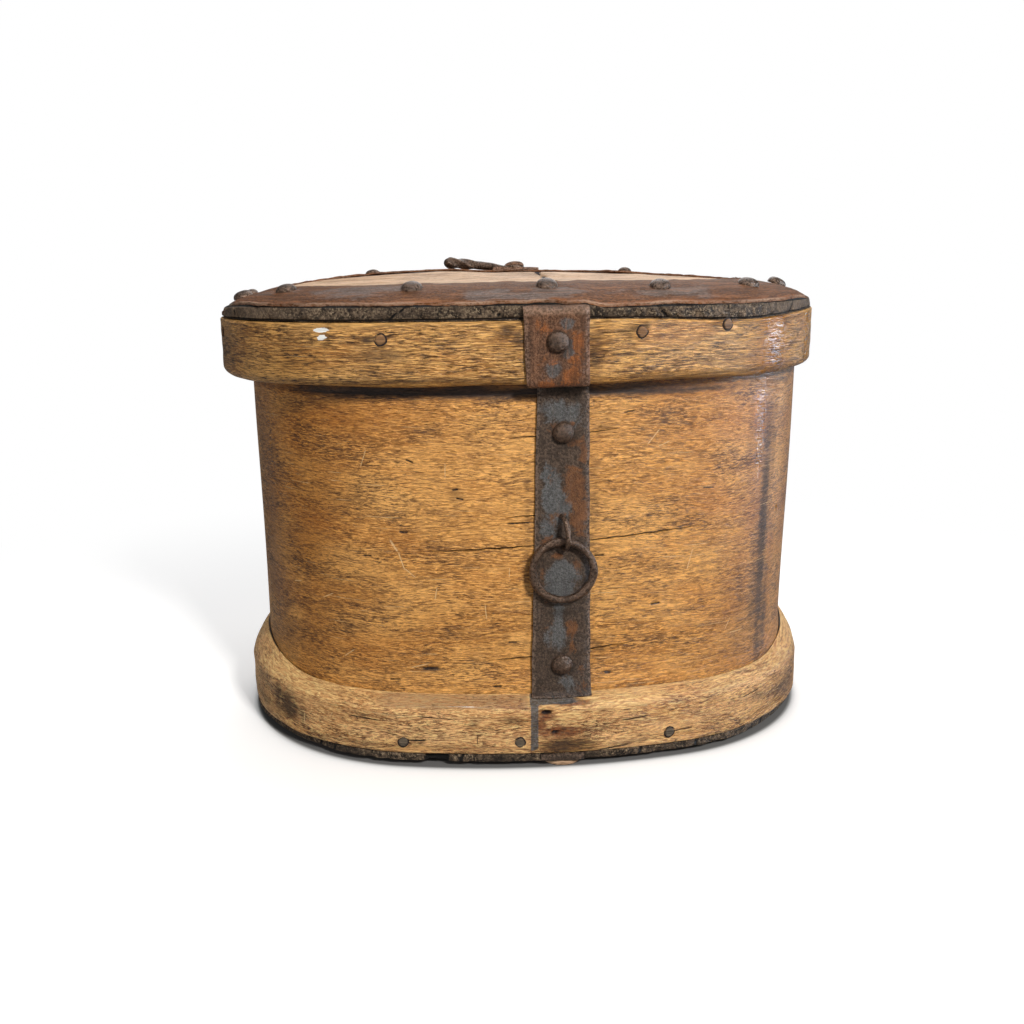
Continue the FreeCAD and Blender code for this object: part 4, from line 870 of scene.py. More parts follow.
# Spots on the base band, some of them painted highlights and glints, its dents and its two nail holes.
BASE_SPOTS = {
    "shade": (
        (185, 26, 44, 24, 0.95), (110, 14, 40, 6, 0.4), (-150, 20, 20, 10, 0.25), (-60, 12, 80, 3, 0.4),
        (10, 12, 20, 5, 0.9), (60, 28, 20, 3, 0.3), (-100, 27, 24, 4, 0.35), (-30, 26, 16, 4, 0.3),
    ),
    "dark": (
        (-150, 23, 11, 9, 0.95), (-160, 25, 5, 12, 0.8), (-138, 22, 5, 7, 0.6), (-180, 16, 18, 4, 0.5),
        (10, 12.5, 17, 4.8, 0.95), (20, 17, 6, 5, 0.6), (-1, 30.5, 5, 2.2, 0.7), (-30, 37, 16, 3, 0.3),
        (128, 25, 9, 6, 0.5), (158, 20, 22, 8, 0.6), (45, 12, 12, 3, 0.5), (-40, 26, 4, 4, 0.5),
        (190, 36, 16, 5, 0.5), (300, 24, 60, 9, 0.5), (-330, 22, 50, 8, 0.5), (430, 18, 50, 8, 0.55),
        (-30, 12, 40, 2, 0.45), (-105, 12, 40, 2, 0.5), (60, 33, 26, 3, 0.4), (8, 12, 16, 4, 0.5),
        (-60, 30, 30, 2, 0.35), (100, 36, 24, 3, 0.4), (-20, 29, 9, 4, 0.5), (30, 34, 6, 4, 0.5),
    ),
    # Pale spots: worn wood, and at s -138 a painted highlight on the rounded top.
    "pale": (
        (-138, 44, 18, 9, 1.5), (-4, 39, 8, 1.6, 0.8), (13, 30, 9, 4.5, 1.0), (40, 34, 22, 3, 0.8),
        (-60, 20, 30, 8, 0.45), (60, 24, 50, 8, 0.4), (14, 31, 7, 4, 0.9), (95, 30, 30, 5, 0.4),
    ),
    "warm": (
        (9, 22, 15, 4, 0.5), (-100, 32, 20, 4, 0.6), (-120, 26, 14, 5, 0.4), (70, 30, 30, 4, 0.4),
        (110, 34, 20, 4, 0.4),
    ),
    "rust": (
        (8, 21.0, 15, 3.4, 1.1), (-1, 30.5, 7, 2.6, 0.8), (-3.5, 26, 3.0, 6, 0.9), (14, 36.5, 12, 1.6, 0.9),
        (30, 20, 10, 2.0, 0.5),
    ),
    # Not paint: painted white glints along the band's ridge.
    "paint": (
        (-44, 36.3, 26, 0.5, 0.62), (-66, 35.6, 10, 0.5, 0.5), (48, 36.6, 14, 0.8, 0.42),
    ),
}
BASE_DENTS = (
    (-60, 33, 12, 2, 1), (70, 12, 16, 2.5, 1.2), (140, 11, 20, 3, 1.3), (-130, 36, 10, 2, 1),
    (200, 34, 9, 2, 1), (-260, 12, 18, 3, 1), (300, 36, 14, 2, 1), (420, 30, 12, 4, 1),
)
BASE_HOLES = ((-1.0, 32.6, 3.0, 1.2, 1.0), (3.8, 20.3, 2.6, 0.9, 1.0))


# ------------------------------------------------------------------ bottom board and feet
# Splits of the flange, and notches in its edge: where they are, for the notches (s, half length, depth).
FLANGE_SPLITS = (-128, -118, -66, -47, 51, 84, 133, 260, -210)
FLANGE_NOTCHES = (
    (-60, 6.5, 3.2), (-41, 2.0, 1.0), (-150, 30, 1.6), (96, 5, 1.0), (150, 30, 1.6), (62, 2, 0.8),
    (-96, 2, 0.8), (240, 10, 3.0), (-300, 12, 3.0), (400, 8, 3.5),
)


def make_bottom_board():
    """The board's rough flange under the base band, and its plug inside the wall."""
    s = even_s(ROUND_STEPS)
    section = [(7.9, 3.4)] + polyline([(9.0, 3.6), (9.5, 4.4), (9.5, 7.3), (9.1, 7.95)], 0.8)
    section += polyline([(6.0, 7.98), (-5.15, 7.98), (-5.15, 19.6), (-5.7, 20.1), (-9.0, 20.1)], 3.0)
    grid_s, reach, z = spread(s, section)
    edge = smooth(reach, 6.0, 8.5)
    notch = sum(depth * np.exp(-((grid_s - s0) / half) ** 8) for s0, half, depth in FLANGE_NOTCHES)
    chips = 0.35 * ripple(grid_s, z, 26, 7, 71) + 0.25 * ripple(grid_s, z, 8, 4, 72)
    reach = reach - edge * (notch + np.maximum(chips, -0.1))
    z = z + edge * smooth(z, 5.5, 4.0) * np.maximum(0.25 * ripple(grid_s, z * 0, 34, 9, 73), 0)
    points = ring_points(s, reach, z, BOX_X)
    split = np.exp(-((grid_s + 60) / 6.5) ** 8)
    for s0 in FLANGE_SPLITS:
        split = np.maximum(split, np.clip(1 - np.abs(grid_s - s0 - 0.3 * (z - 5)) / 1.6, 0, 1))
    built = Builder()
    built.grid(points, s[:, None], section_lengths(*np.array(section).T)[None, :], wrap_rows=True,
               wrap_u=2 * HALF_ROUND, groove=split * edge, kind=(reach > -4).astype(int),
               dark=0.5 * (0.5 + 0.5 * ripple(grid_s, z, 50, 20, 74)) * edge)
    close_disc(built, points[:, -1], np.linspace(1, 0.06, 16), 600)
    close_disc(built, points[:, 0], np.linspace(1, 0.06, 16), 900)
    built.make("bottom_board_wood", "box", [brown_wood, board_edge], ["bottom_board"])


def close_disc(built, rim, levels, v_offset, mark=None):
    """Fills an oval outline with shrinking rings, the grain running along x."""
    centre = np.array([rim[:, 0].mean(), 0.0, rim[:, 2].mean()])
    points = centre + (rim - centre)[:, None, :] * levels[None, :, None]
    marks = mark(points, levels) if mark else {}
    start = built.grid(points, points[..., 0], points[..., 1] + v_offset, wrap_rows=True, **marks)
    row = start + (np.arange(points.shape[0]) + 1) * len(levels) - 1
    built.fan(row, points[:, -1], points[:, -1, :2] + (0, v_offset))


def make_feet():
    """Four round discs, a little uneven in outline."""
    profile = ((9.6, 0.02), (10.5, 0.5), (10.9, 1.4), (10.7, 2.6), (10.2, 3.1), (9.0, 3.45))
    angle = around(40)
    built = Builder()
    for number, (x, y) in enumerate(((STRAP_X, 1.2 - HALF_WIDTH), (STRAP_X, HALF_WIDTH - 1.2),
                                     (BOX_X - 153.3, 0.0), (BOX_X + 153.3, 0.0))):
        outline = 1 + wobble(np.random.default_rng(80 + number), angle, 0.03)
        points = turned((x, y, 0.0), (1, 0, 0), (0, 1, 0), profile, angle, outline)
        start = built.grid(points, points[..., 0], points[..., 1] + points[..., 2], wrap_rows=True)
        built.close_rings(start, points, points[..., :2])
    built.make("foot_discs", "box", pale_wood, ["feet"])


# ------------------------------------------------------------------ lid: band and board
# How much the lid's outer parts rise towards the box's right end: it sits a little askew.
LID_TILT = 0.0111


def crown_lift(x, y, share):
    """The crown's own unevenness, where share is 0 at its rim and 1 at the iron ring's inner edge."""
    local = (x - LID_X) / 100.0
    front = -1.8 - 1.1 * local**2
    back = 3.0 - np.where(local < 0, 3.0, 3.4) * local**2 + 2.2 * smooth(-local, 0.05, 0.55)
    side = smooth(y, -92, 92)
    belly = 9.2 * share * (1 - share) * (1 - 0.72 * side)
    return share * (front * (1 - side) + back * side) + belly


def rim_lift(s):
    """The board is a little thicker at its left front."""
    return 2.3 * smooth(s, 34, 20) * smooth(s, -215, -160)


def end_share(s):
    """1 at the lid's two ends, 0 along its sides."""
    return smooth(np.abs(s), 165, 205) * smooth(np.abs(s), 293, 253)


def band_dip(s):
    """The band's top edge is worn lower at the right front, and the board reaches down to it."""
    return 2.8 * np.exp(-((np.asarray(s, float) - 108) / 42.0) ** 2)


def ring_inner(s):
    """The iron ring's inner edge: the ring is narrower at the box's left end."""
    return RING_INNER + 8.4 * np.exp(-((np.asarray(s, float) + 222) / 42.0) ** 2)


def crown_height(reach):
    """Height of the board's sloping margin and flat middle."""
    share = (RIM_REACH - np.asarray(reach, float)) / CROWN_MARGIN
    return RIM_TOP + np.clip(share, -0.1, 1.0) * CROWN_RISE


def ring_share(reach):
    """0 at the iron ring's outer edge, 1 at its inner edge and further in."""
    return np.clip((RING_REACH - np.asarray(reach, float)) / (RING_REACH - RING_INNER), 0, 1)


def raise_lid(points):
    """The lid's points where it really sits, a little askew on the plain solids."""
    out = points.copy()
    out[:, 2] += LID_TILT * points[:, 0] * smooth(points[:, 2], 205, 213)
    return out


def lid_wave(s, z):
    """How far the lid band's face stands out or in."""
    wave = 0.30 * ripple(s, z, 120, 70, 21) + 0.14 * ripple(s, z, 22, 9, 22)
    return np.minimum(wave, 0.5) - 0.8 * blob(s, z, LID_DENTS)


def lid_shape(s, reach, z):
    """The lid band's uneven face and edges."""
    edge = 0.25 * ripple(s, s * 0, 90, 9, 23) * smooth(z, 216, 212)
    height = z + edge - band_dip(s) * smooth(z, 239, 243.5)
    return reach + smooth(reach, 5.5, 8.0) * lid_wave(s, z), height


def lid_marks(s, reach, z):
    """The lid band's spots and its pale upper edge."""
    marks = {key: blob(s, z, spots) for key, spots in LID_SPOTS.items()}
    marks["dark"] *= smooth(reach, 4.3, 6)
    marks["warm"] *= smooth(reach, 8, 11)
    marks["paint"] *= smooth(reach, 8, 11)
    marks["pale"] += 0.75 * smooth(z, BAND_TOP - 2.2, BAND_TOP - 0.4) * smooth(reach, 8, 11)
    marks["shade"] = np.clip(marks["shade"] + 0.12 * ripple(s, z, 50, 30, 25), 0, 1)
    return marks


def make_lid_band():
    outer = polyline([(4.4, BAND_LOW), (5.0, BAND_LOW), (6.4, BAND_LOW + 0.1)], 1.0)
    outer += arc(6.6, BAND_LOW + 5.8, 5.7, -84, -6, 9)
    outer += polyline([(LID_REACH, BAND_LOW + 6.6), (LID_REACH, BAND_TOP - 1.6)], 1.9)
    outer += arc(10.9, BAND_TOP - 1.4, 1.4, 12, 84, 4)
    outer += polyline([(10.4, BAND_TOP), (5.0, BAND_TOP)], 2.6)
    inner = [(4.0, z) for z in np.linspace(BAND_TOP - 0.6, BAND_LOW + 0.6, 9)]
    middle_x = np.array([LID_X] * len(outer) + [LID_HOLLOW_X] * len(inner))
    middle_x[:2] = LID_HOLLOW_X
    band("lid_band_shell", outer + inner, "lid", honey_lid, ["lid_band"], middle_x[None, :], lid_shape,
         lid_marks, raise_lid, v_start=206.3)


# Spots on the lid band, some of them painted shade and a painted warm reflection, and its dents.
LID_SPOTS = {
    # Browner tone, with painted shade along the band's lower edge at height 212.
    "shade": (
        (128, 230, 18, 40, 0.95), (166, 230, 12, 40, 0.45), (-190, 228, 40, 30, 0.5),
        (-120, 224, 40, 14, 0.55), (-150, 240, 40, 6, 0.5), (-85, 238, 22, 6, 0.45), (-14, 238, 10, 8, 0.7),
        (28, 232, 6, 14, 0.6), (0, 212, 200, 4, 0.45), (150, 240, 20, 10, 0.4), (116, 230, 16, 30, 0.45),
        (-60, 228, 20, 5, 0.35),
    ),
    # Dark spots are stains, except the long thin ones at heights 214 to 217, a painted shade along the band's
    # lower rounding.
    "dark": (
        (-78, 228, 16, 4, 0.55), (-84, 236, 5, 3, 0.7), (-10, 235, 5, 7, 0.6), (27, 228, 5, 12, 0.65),
        (-120, 224, 20, 3, 0.4), (45, 238, 5, 3, 0.6), (100, 222, 30, 3, 0.35), (-60, 215, 90, 2.0, 0.5),
        (100, 215, 60, 2.0, 0.5), (-190, 228, 22, 14, 0.5), (330, 226, 60, 14, 0.4), (-400, 226, 50, 12, 0.4),
        (230, 217, 50, 4, 0.5), (-128, 234, 12, 7, 0.4), (90, 239, 5, 2, 0.7), (53, 241, 3, 2, 0.7),
        (180, 228, 10, 14, 0.4), (-16, 240, 5, 3, 0.6), (66, 214, 26, 2, 0.5),
    ),
    "pale": (
        (60, 228, 30, 8, 0.45), (-40, 232, 25, 6, 0.4), (-50, 238, 30, 3, 0.4), (-60, 219, 60, 3, 0.35),
        (-150, 232, 10, 8, 0.35), (30, 220, 20, 5, 0.4), (160, 230, 6, 12, 0.5),
    ),
    # Warmer wood; the strong spot at s -226 is a painted warm reflection at the left end.
    "warm": (
        (-60, 238, 30, 4, 0.4), (-110, 226, 30, 5, 0.5), (90, 240, 24, 3, 0.4), (-182, 215, 20, 8, 0.9),
        (-226, 226, 12, 30, 1.8), (-34, 226, 16, 5, 0.4), (120, 224, 20, 6, 0.3),
    ),
    "gloss": (
        (129, 230, 7, 40, 1.25), (168, 230, 4, 40, 0.9),
    ),
    "paint": (
        (-107, 240.4, 4.3, 0.9, 1.8), (-106.6, 237.3, 2.2, 0.6, 1.8), (-104.2, 236.5, 1.9, 0.6, 1.8),
    ),
}
LID_DENTS = (
    (-100, 242, 10, 1.5, 1), (60, 214, 30, 2, 0.8), (-60, 213.5, 24, 2, 0.9), (170, 242, 20, 1.5, 0.8),
    (-240, 214, 30, 2, 1.0), (280, 243, 18, 1.5, 1.0), (400, 214, 30, 2, 0.9),
)
def make_lid_board():
    """The board: plug, dark rim, sloping margin and the flat middle, cracked across."""
    s = even_s(ROUND_STEPS)
    under = polyline([(3.2, 232.7), (3.9, 233.2), (3.9, BAND_TOP), (RIM_REACH - 1.6, BAND_TOP + 0.05)], 3.0)
    rim = polyline([(RIM_REACH - 1.5, BAND_TOP + 0.35), (RIM_REACH, BAND_TOP + 1.3),
                    (RIM_REACH, RIM_TOP - 0.6), (RIM_REACH - 0.6, RIM_TOP)], 0.9)
    margin = [(reach, float(crown_height(reach))) for reach in np.linspace(RIM_REACH - 2.5, -30.9, 18)]
    section = np.array(under + rim + margin)
    middle_x = np.where(np.arange(len(section)) < len(under), LID_HOLLOW_X, LID_X)
    grid_s, reach, z = spread(s, section)
    edge = smooth(reach, 9.5, 11.0) * smooth(z, BAND_TOP + 0.1, BAND_TOP + 1.0)
    risen = np.clip((z - BAND_TOP) / 5.7, 0, 1)
    chips = 0.50 * ripple(grid_s, z, 20, 6, 31) + 0.40 * ripple(grid_s, z, 6, 3, 32)
    split = board_splits(grid_s, z)
    reach = reach + edge * (np.minimum(chips, 0.35) - 1.2 * split)
    reach = reach - 2.0 * end_share(grid_s) * risen * smooth(reach, 6, 9)
    points = ring_points(s, reach, z, middle_x[None, :])
    share = ring_share(reach) * smooth(z, RIM_TOP - 1, RIM_TOP + 1)
    x, y = points[..., 0], points[..., 1]
    points[..., 2] += crown_lift(x, y, share) - 0.3 * share * smooth(y, 40, 80)
    points[..., 2] -= band_dip(grid_s) * smooth(z, RIM_TOP - 1.2, BAND_TOP + 0.6) * smooth(reach, 6, 9)
    points[..., 2] += rim_lift(grid_s) * risen * (1 - ring_share(reach))
    # Painted shadow lines: at the rim's foot above the band, and under the iron ring's outer edge at the
    # rim's top.
    split = np.maximum(split, 1.5 * smooth(z, BAND_TOP + 1.5, BAND_TOP + 0.8))
    split = np.maximum(split, 1.2 * smooth(z, RIM_TOP - 0.6, RIM_TOP - 0.1) * (z < RIM_TOP + 0.3))
    built = Builder()
    # The pale mark makes the rim paler towards the box's ends: paler wood, and painted light where the ends
    # turn from the lamps.
    built.grid(points, s[:, None], section_lengths(*section.T)[None, :], wrap_rows=True,
               wrap_u=2 * HALF_ROUND, groove=split * edge, dark=0.45 * blob(grid_s, z, RIM_DARK),
               pale=smooth(np.abs(grid_s), 95, 160) * edge,
               kind=((reach > ring_inner(grid_s) + 3.5) & (z > BAND_TOP)).astype(int))
    # The crown's rings stand closer near its middle, where the crack would break up between wide ones.
    levels = np.concatenate([np.linspace(1, 0.26, 27), np.linspace(0.253, 0.01, 38)])
    close_disc(built, points[:, -1], levels, 600, crown_crack)
    close_disc(built, points[:, 0], np.linspace(1, 0.1, 10), 900)
    built.make("lid_board_wood", "lid", [pale_wood, board_edge], ["lid_board"], raise_lid)


# A dark stain on the crown beside its crack: (x, y, half width, half height, strength).
CROWN_STAIN = ((14, 60, 14, 40, 1.0),)
# Dark places of the lid board's rim: (s, z, half length, half height, strength).
RIM_DARK = (
    (-60, 247, 40, 4, 1.0), (20, 247, 60, 4, 1.0), (-120, 247, 12, 4, 0.7), (300, 247, 90, 4, 0.8),
    (-380, 247, 80, 4, 0.8),
)


# The jagged crack across the crown: (y, x, half width).
CRACK = (
    (-90, 18, 1.2), (-74, 17, 1.3), (-62, 19, 1.0), (-46, 17, 1.0), (-30, 19, 1.3), (-14, 16, 1.4),
    (4, 19, 1.2), (22, 17, 1.2), (40, 20, 1.4), (54, 16.5, 1.8), (64, 20.5, 2.0), (76, 18.5, 1.8),
    (90, 22, 1.4),
)


def crown_crack(points, levels):
    """Cuts the jagged crack across the middle of the crown, makes its top uneven, and paints a shadow under
    the iron ring's raised back edge.
    """
    x, y = points[..., 0], points[..., 1]
    along, middle, half = np.array(CRACK).T
    path, half = np.interp(y, along, middle), np.interp(y, along, half)
    inside = np.broadcast_to(levels < 1, x.shape)
    near = np.clip(1.8 - 1.3 * np.abs(x - path) / half, 0, 1) * inside
    points[..., 2] += 0.22 * ripple(x, y, 60, 11, 35) * inside - 1.8 * near
    # A painted shadow just inside the iron ring's raised back edge.
    ring_edge_shadow = 0.8 * smooth(levels + 0 * x, 0.955, 0.985) * smooth(y, 30, 75)
    return {"groove": np.maximum(near, ring_edge_shadow),
            "dark": 0.5 * smooth(y, -40, -78) + 0.4 * blob(x, y, CROWN_STAIN)}


# Cracks in the board's rim: (s, slope, half width).
BOARD_SPLITS = ((-172, 0.0, 0.5), (-70, 2.2, 0.7), (-22, -2.6, 0.4), (62, -1.2, 0.3), (146, 0.6, 0.4),
                (-260, 0.4, 0.8), (250, -0.6, 0.8), (380, 1.0, 0.9), (-390, -0.8, 0.7))


def board_splits(s, z):
    """1 in the middle of a crack of the board's rim, 0 beside it."""
    mark = np.zeros(np.shape(s))
    for s0, slope, half in BOARD_SPLITS:
        off = np.abs(s - s0 - slope * (z - BAND_TOP - 3))
        mark = np.maximum(mark, np.clip(1 - off / (half + 0.9), 0, 1))
    return mark


# ------------------------------------------------------------------ iron ring and its nails
def ring_edge_wave(s, seed):
    """The hammered unevenness of the ring's edges."""
    return 0.8 * ripple(s, s * 0, 70, 9, seed) + 0.4 * ripple(s, s * 0, 22, 9, seed + 1)


# Half the points of the ring's section, and its bright lip of rubbed metal and painted highlight: (point of
# the section, strength).
RING_ROWS = 15
RING_LIP = ((0, 0.9), (1, 0.45), (RING_ROWS - 1, 0.35))


def make_iron_ring():
    """The sheet-iron ring on the crown's margin: hammered, uneven at its edges, and worn at its lip, where a
    highlight is painted too.
    """
    s = even_s(ROUND_STEPS)
    outer = RING_REACH + 0.25 + 0.9 * ring_edge_wave(s, 41) - 1.2 * end_share(s)
    outer = np.minimum(outer, RIM_REACH + 0.8)
    inner = ring_inner(s) + 1.1 * ring_edge_wave(s, 43)
    share = np.concatenate([[0, 0.012, 0.035], np.linspace(0.08, 0.93, RING_ROWS - 5), [0.975, 1]])
    reach = outer[:, None] * (1 - share) + inner[:, None] * share
    flat = ring_points(s, reach, crown_height(reach), LID_X)
    grid_s = np.repeat(s[:, None], RING_ROWS, 1)
    outwards = 1 - ring_share(reach)
    behind = smooth(share, 0.70, 1.0) * smooth(flat[..., 1], 30, 80)
    hammer = 0.16 * ripple(grid_s, reach, 30, 22, 45) + 0.10 * ripple(grid_s, reach, 12, 9, 46)
    droop = 0.45 * smooth(share, 0.08, 0.0) * (0.5 + 0.5 * ripple(grid_s, grid_s * 0, 80, 9, 47))
    height = crown_lift(flat[..., 0], flat[..., 1], 1 - outwards) + np.abs(hammer) + 0.5 * behind
    height += rim_lift(grid_s) * outwards - np.maximum(droop, 0)
    height -= end_share(grid_s) * (1.2 * outwards + 3.0 * smooth(share, 0.22, 0.0))
    low, high = flat.copy(), flat.copy()
    low[..., 2] += height + 0.1
    high[..., 2] += height + 1.55 - 0.4 * behind
    edge = np.concatenate([share, share[::-1]])
    lip = np.zeros(2 * RING_ROWS)
    for point, strength in RING_LIP:
        lip[point] = strength
    # How strongly the lip is lightened along the ring: rubbed metal and painted highlight.
    lip_wear_and_glint = np.clip(0.6 + 0.5 * ripple(s, s * 0, 34, 9, 48), 0, 1)[:, None]
    built = Builder()
    v = np.concatenate([share * 40, 41.5 + share * 40])
    built.grid(np.concatenate([high, low[:, ::-1]], 1), s[:, None], v[None, :], wrap_rows=True,
               wrap_columns=True, wrap_u=2 * HALF_ROUND, wrap_v=83.0,
               rust=0.5 * smooth(np.abs(edge - 0.5), 0.4, 0.5)[None, :], bare=lip * lip_wear_and_glint,
               blue=blob(s[:, None], edge, RING_BLUE))
    built.make("iron_ring_sheet", "lid", rusty_ring, ["lid_iron_ring"], raise_lid)


# Blue-grey places of the ring; the one at s -92 is a painted bluish sheen: (s, share across it, half length,
# half share, strength).
RING_BLUE = (
    (-24, 0.16, 14, 0.16, 1.1), (-92, 0.45, 34, 0.25, 0.7), (10, 0.25, 14, 0.2, 1.0), (70, 0.3, 40, 0.2, 0.5),
    (-150, 0.4, 24, 0.2, 0.5), (250, 0.5, 60, 0.3, 0.6), (-380, 0.5, 60, 0.3, 0.6),
)
# Rings and sides of a nail's head.
HEAD_RINGS, HEAD_SIDES = 7, 22
# The ring's nails by number: where they stand, how far inwards and how proud some are, and the pointed one.
NAIL_AZIMUTHS = (-153, -122, -87, -57, -33, -13, 10, 47, 67, 111, 137, 146, 176, -174)
NAIL_REACH = RING_REACH - 19.0
NAIL_SHIFTS = {7: (-7.0, 2.2), 8: (-1.0, 0.3), 10: (-9.0, 2.2), 11: (-3.5, 1.2), 12: (7.0, -0.5),
               13: (7.0, -0.5)}
POINTED_NAIL = 7


def dome_points(radius, height, seed):
    """A hand-forged domed head, uneven in outline, with its flat face at z = 0."""
    random = np.random.default_rng(seed)
    angle = around(HEAD_SIDES)
    outline = 1 + wobble(random, angle, 0.035)
    tilt = random.uniform(-0.10, 0.10, 2)
    rings = []
    for k in range(HEAD_RINGS + 1):
        turn = k / (HEAD_RINGS + 0.6) * math.pi / 2
        r, z = radius * math.cos(turn) ** 0.8, height * math.sin(turn) ** 0.9
        x, y = r * outline * np.cos(angle), r * outline * np.sin(angle)
        rings.append(np.stack([x, y, z + (tilt[0] * x + tilt[1] * y) * (z / height)], -1))
    skirt = rings[0].copy()
    skirt[:, 2] = -0.45
    return np.stack([skirt] + rings, 1)


def add_head(built, seat, outward, radius, height, seed, shank, shank_radius=2.4):
    """A domed head on its seat, with the shank behind it."""
    angle = around(HEAD_SIDES)
    circle = np.stack([np.cos(angle), np.sin(angle)], -1) * shank_radius
    rings = [np.concatenate([circle * scale, np.full((HEAD_SIDES, 1), z)], -1)
             for z, scale in ((-shank, 0.55), (-shank * 0.8, 1.0), (-0.46, 1.0))]
    points = np.concatenate([np.stack(rings, 1), dome_points(radius, height, seed)], 1)
    spin = Vector((0, 0, 1)).rotation_difference(Vector(outward)).to_matrix()
    points = points @ np.array(spin).T + np.asarray(seat)
    columns = points.shape[1]
    start = built.grid(points, np.arange(HEAD_SIDES)[:, None] * 2.0, np.arange(columns)[None, :] * 1.5,
                       wrap_rows=True, wrap_u=HEAD_SIDES * 2.0,
                       rust=0.25 * np.sin(np.arange(HEAD_SIDES) * 0.57 + seed)[:, None])
    row = start + np.arange(HEAD_SIDES) * columns
    built.fan(row + columns - 1, points[:, -1], raised=np.asarray(outward) * height * 0.02)
    built.fan(row, points[:, 0])


def crown_normal(s):
    """The direction square to the crown's slope at s."""
    _, normal = oval(np.array([s]))
    out = np.array([normal[0, 0] * CROWN_RISE, normal[0, 1] * CROWN_RISE, CROWN_MARGIN])
    return out / np.linalg.norm(out)


def make_ring_nails():
    """The ring's nails; some have moved inwards or stand proud, and one has a pointed head."""
    built = Builder()
    for number, azimuth in enumerate(NAIL_AZIMUTHS):
        shift, proud = NAIL_SHIFTS.get(number, (0.0, 0.0))
        reach = NAIL_REACH + shift
        s = s_at(azimuth, reach)
        share = float(ring_share(reach))
        height = crown_height([[reach]]) + 1.75 + proud
        seat = ring_points(np.array([s]), np.array([[reach]]), height, LID_X)[0, 0]
        seat[2] += crown_lift(seat[0], seat[1], share) + LID_TILT * seat[0] + float(rim_lift(s)) * (1 - share)
        pointed = number == POINTED_NAIL
        add_head(built, seat, crown_normal(s), 5.6 - 0.5 * pointed, 3.4 + 0.8 * pointed, 50 + number, 15)
    built.make("ring_nail_heads", "lid", dark_iron, ["lid_ring_nails"], sharp=60)


# ------------------------------------------------------------------ bent straps
def strap_solid(name, body, material, replaces, middle_x, path, sides, widths, seed, thickness=2.0,
                columns=15, bend=None, spots=None, warp=None, edge_wave=0.35):
    """A strip of sheet: path gives (y, z) of its inner face, sides the outward direction at each point."""
    rows = len(path)
    lengths = section_lengths(path[:, 0], path[:, 1])
    middle_x = np.broadcast_to(middle_x, (rows,))[:, None]
    across = np.linspace(-1, 1, columns)
    left, right = (edge_wave * np.array([field(np.array([[place, 0, length]]), 26, seed + number)[0]
                                         for length in lengths])[:, None]
                   for number, place in enumerate((0, 9)))
    half = np.broadcast_to(widths, (rows,))[:, None] / 2
    x = middle_x + across * half + np.where(across < 0, -across * left, across * right)
    t = lengths[:, None] + 0 * x
    hammer = 0.12 * field(np.stack([x, t, x * 0], -1).reshape(-1, 3), 14, seed + 2).reshape(x.shape)
    fold = bend(x, t) if bend else 0.0
    rounding = 0.35 * np.abs(across) ** 14

    def layer(distance):
        y = path[:, None, 0] + sides[:, None, 0] * (distance + fold)
        z = path[:, None, 1] + sides[:, None, 1] * (distance + fold)
        return np.stack([x, y, z], -1)

    top, under = layer(thickness + hammer - rounding), layer(0.02 + rounding * 0.5 + 0 * x)
    loop = np.concatenate([top, under[:, ::-1]], 1)
    marks = {key: blob(x - middle_x, t, table) for key, table in (spots or {}).items()}
    marks = {key: np.concatenate([values, values[:, ::-1]], 1) for key, values in marks.items()}
    built = Builder()
    v = np.concatenate([x, x[:, ::-1] + 60], 1)
    start = built.grid(loop, lengths[:, None], v, wrap_columns=True, **marks)
    built.close_strip(start, rows, 2 * columns)
    built.make(name, body, material, replaces, warp, sharp=35)


def unit(vector):
    """A vector's direction."""
    return vector / np.linalg.norm(vector)


def upright(y, z, way):
    """A strap's path up a face at y, and its outward direction, 1 or -1 along y."""
    return np.stack([y + 0 * z, z], -1), np.stack([way + 0 * z, 0 * z], -1)


def bent_path(corners, radii, step=2.0, side=1):
    """Points along a bent line of (y, z) corners with rounded bends, and the direction off one side."""
    corners = [np.array(corner, float) for corner in corners]
    points = []
    start = corners[0]
    for before, corner, after, radius in zip(corners, corners[1:], corners[2:], radii):
        a, b = unit(corner - before), unit(after - corner)
        turn = math.acos(float(np.clip(a @ b, -1, 1)))
        sign = np.sign(a[0] * b[1] - a[1] * b[0])
        trim = radius * math.tan(turn / 2)
        first = corner - a * trim
        points += polyline([tuple(start), tuple(first)], step)[:-1]
        centre = first + np.array([-a[1], a[0]]) * sign * radius
        offset = first - centre
        steps = max(4, int(turn * radius / 0.8) + 2)
        for angle in sign * turn * np.arange(steps) / steps:
            cos, sin = math.cos(angle), math.sin(angle)
            points.append((centre[0] + offset[0] * cos - offset[1] * sin,
                           centre[1] + offset[0] * sin + offset[1] * cos))
        start = corner + b * trim
    points += polyline([tuple(start), tuple(corners[-1])], step)
    path = np.array(points)
    tangent = np.gradient(path, axis=0)
    tangent /= np.linalg.norm(tangent, axis=1)[:, None]
    return path, np.stack([-tangent[:, 1], tangent[:, 0]], -1) * side


def side_sag(x, reach):
    """How far a long side's face falls back from its middle, at x from the oval's middle."""
    radius = SIDE_RADIUS + reach
    return radius - np.sqrt(radius**2 - np.asarray(x, float) ** 2)


def make_front_strap():
    """The strap down the wall's front, wider at its foot."""
    low, high = BASE_TOP - 1.0, 223.3
    z = np.concatenate([np.linspace(low, low + 3.2, 7), np.linspace(low + 5, high, 82)])
    path, sides = upright(-(HALF_WIDTH + 0.1) - wall_lean(z) - 3.8 * smooth(z, low + 2.6, low), z, -1)
    widths = 33.0 + (26.6 - 33.0) * (z - low) / (high - low)
    strap_solid("front_strap_sheet", "box", grey, ["front_strap"], STRAP_X, path, sides, widths,
                61, columns=17, bend=lambda x, t: -side_sag(x - BOX_X, 0), spots=STRAP_SPOTS, edge_wave=0.15)


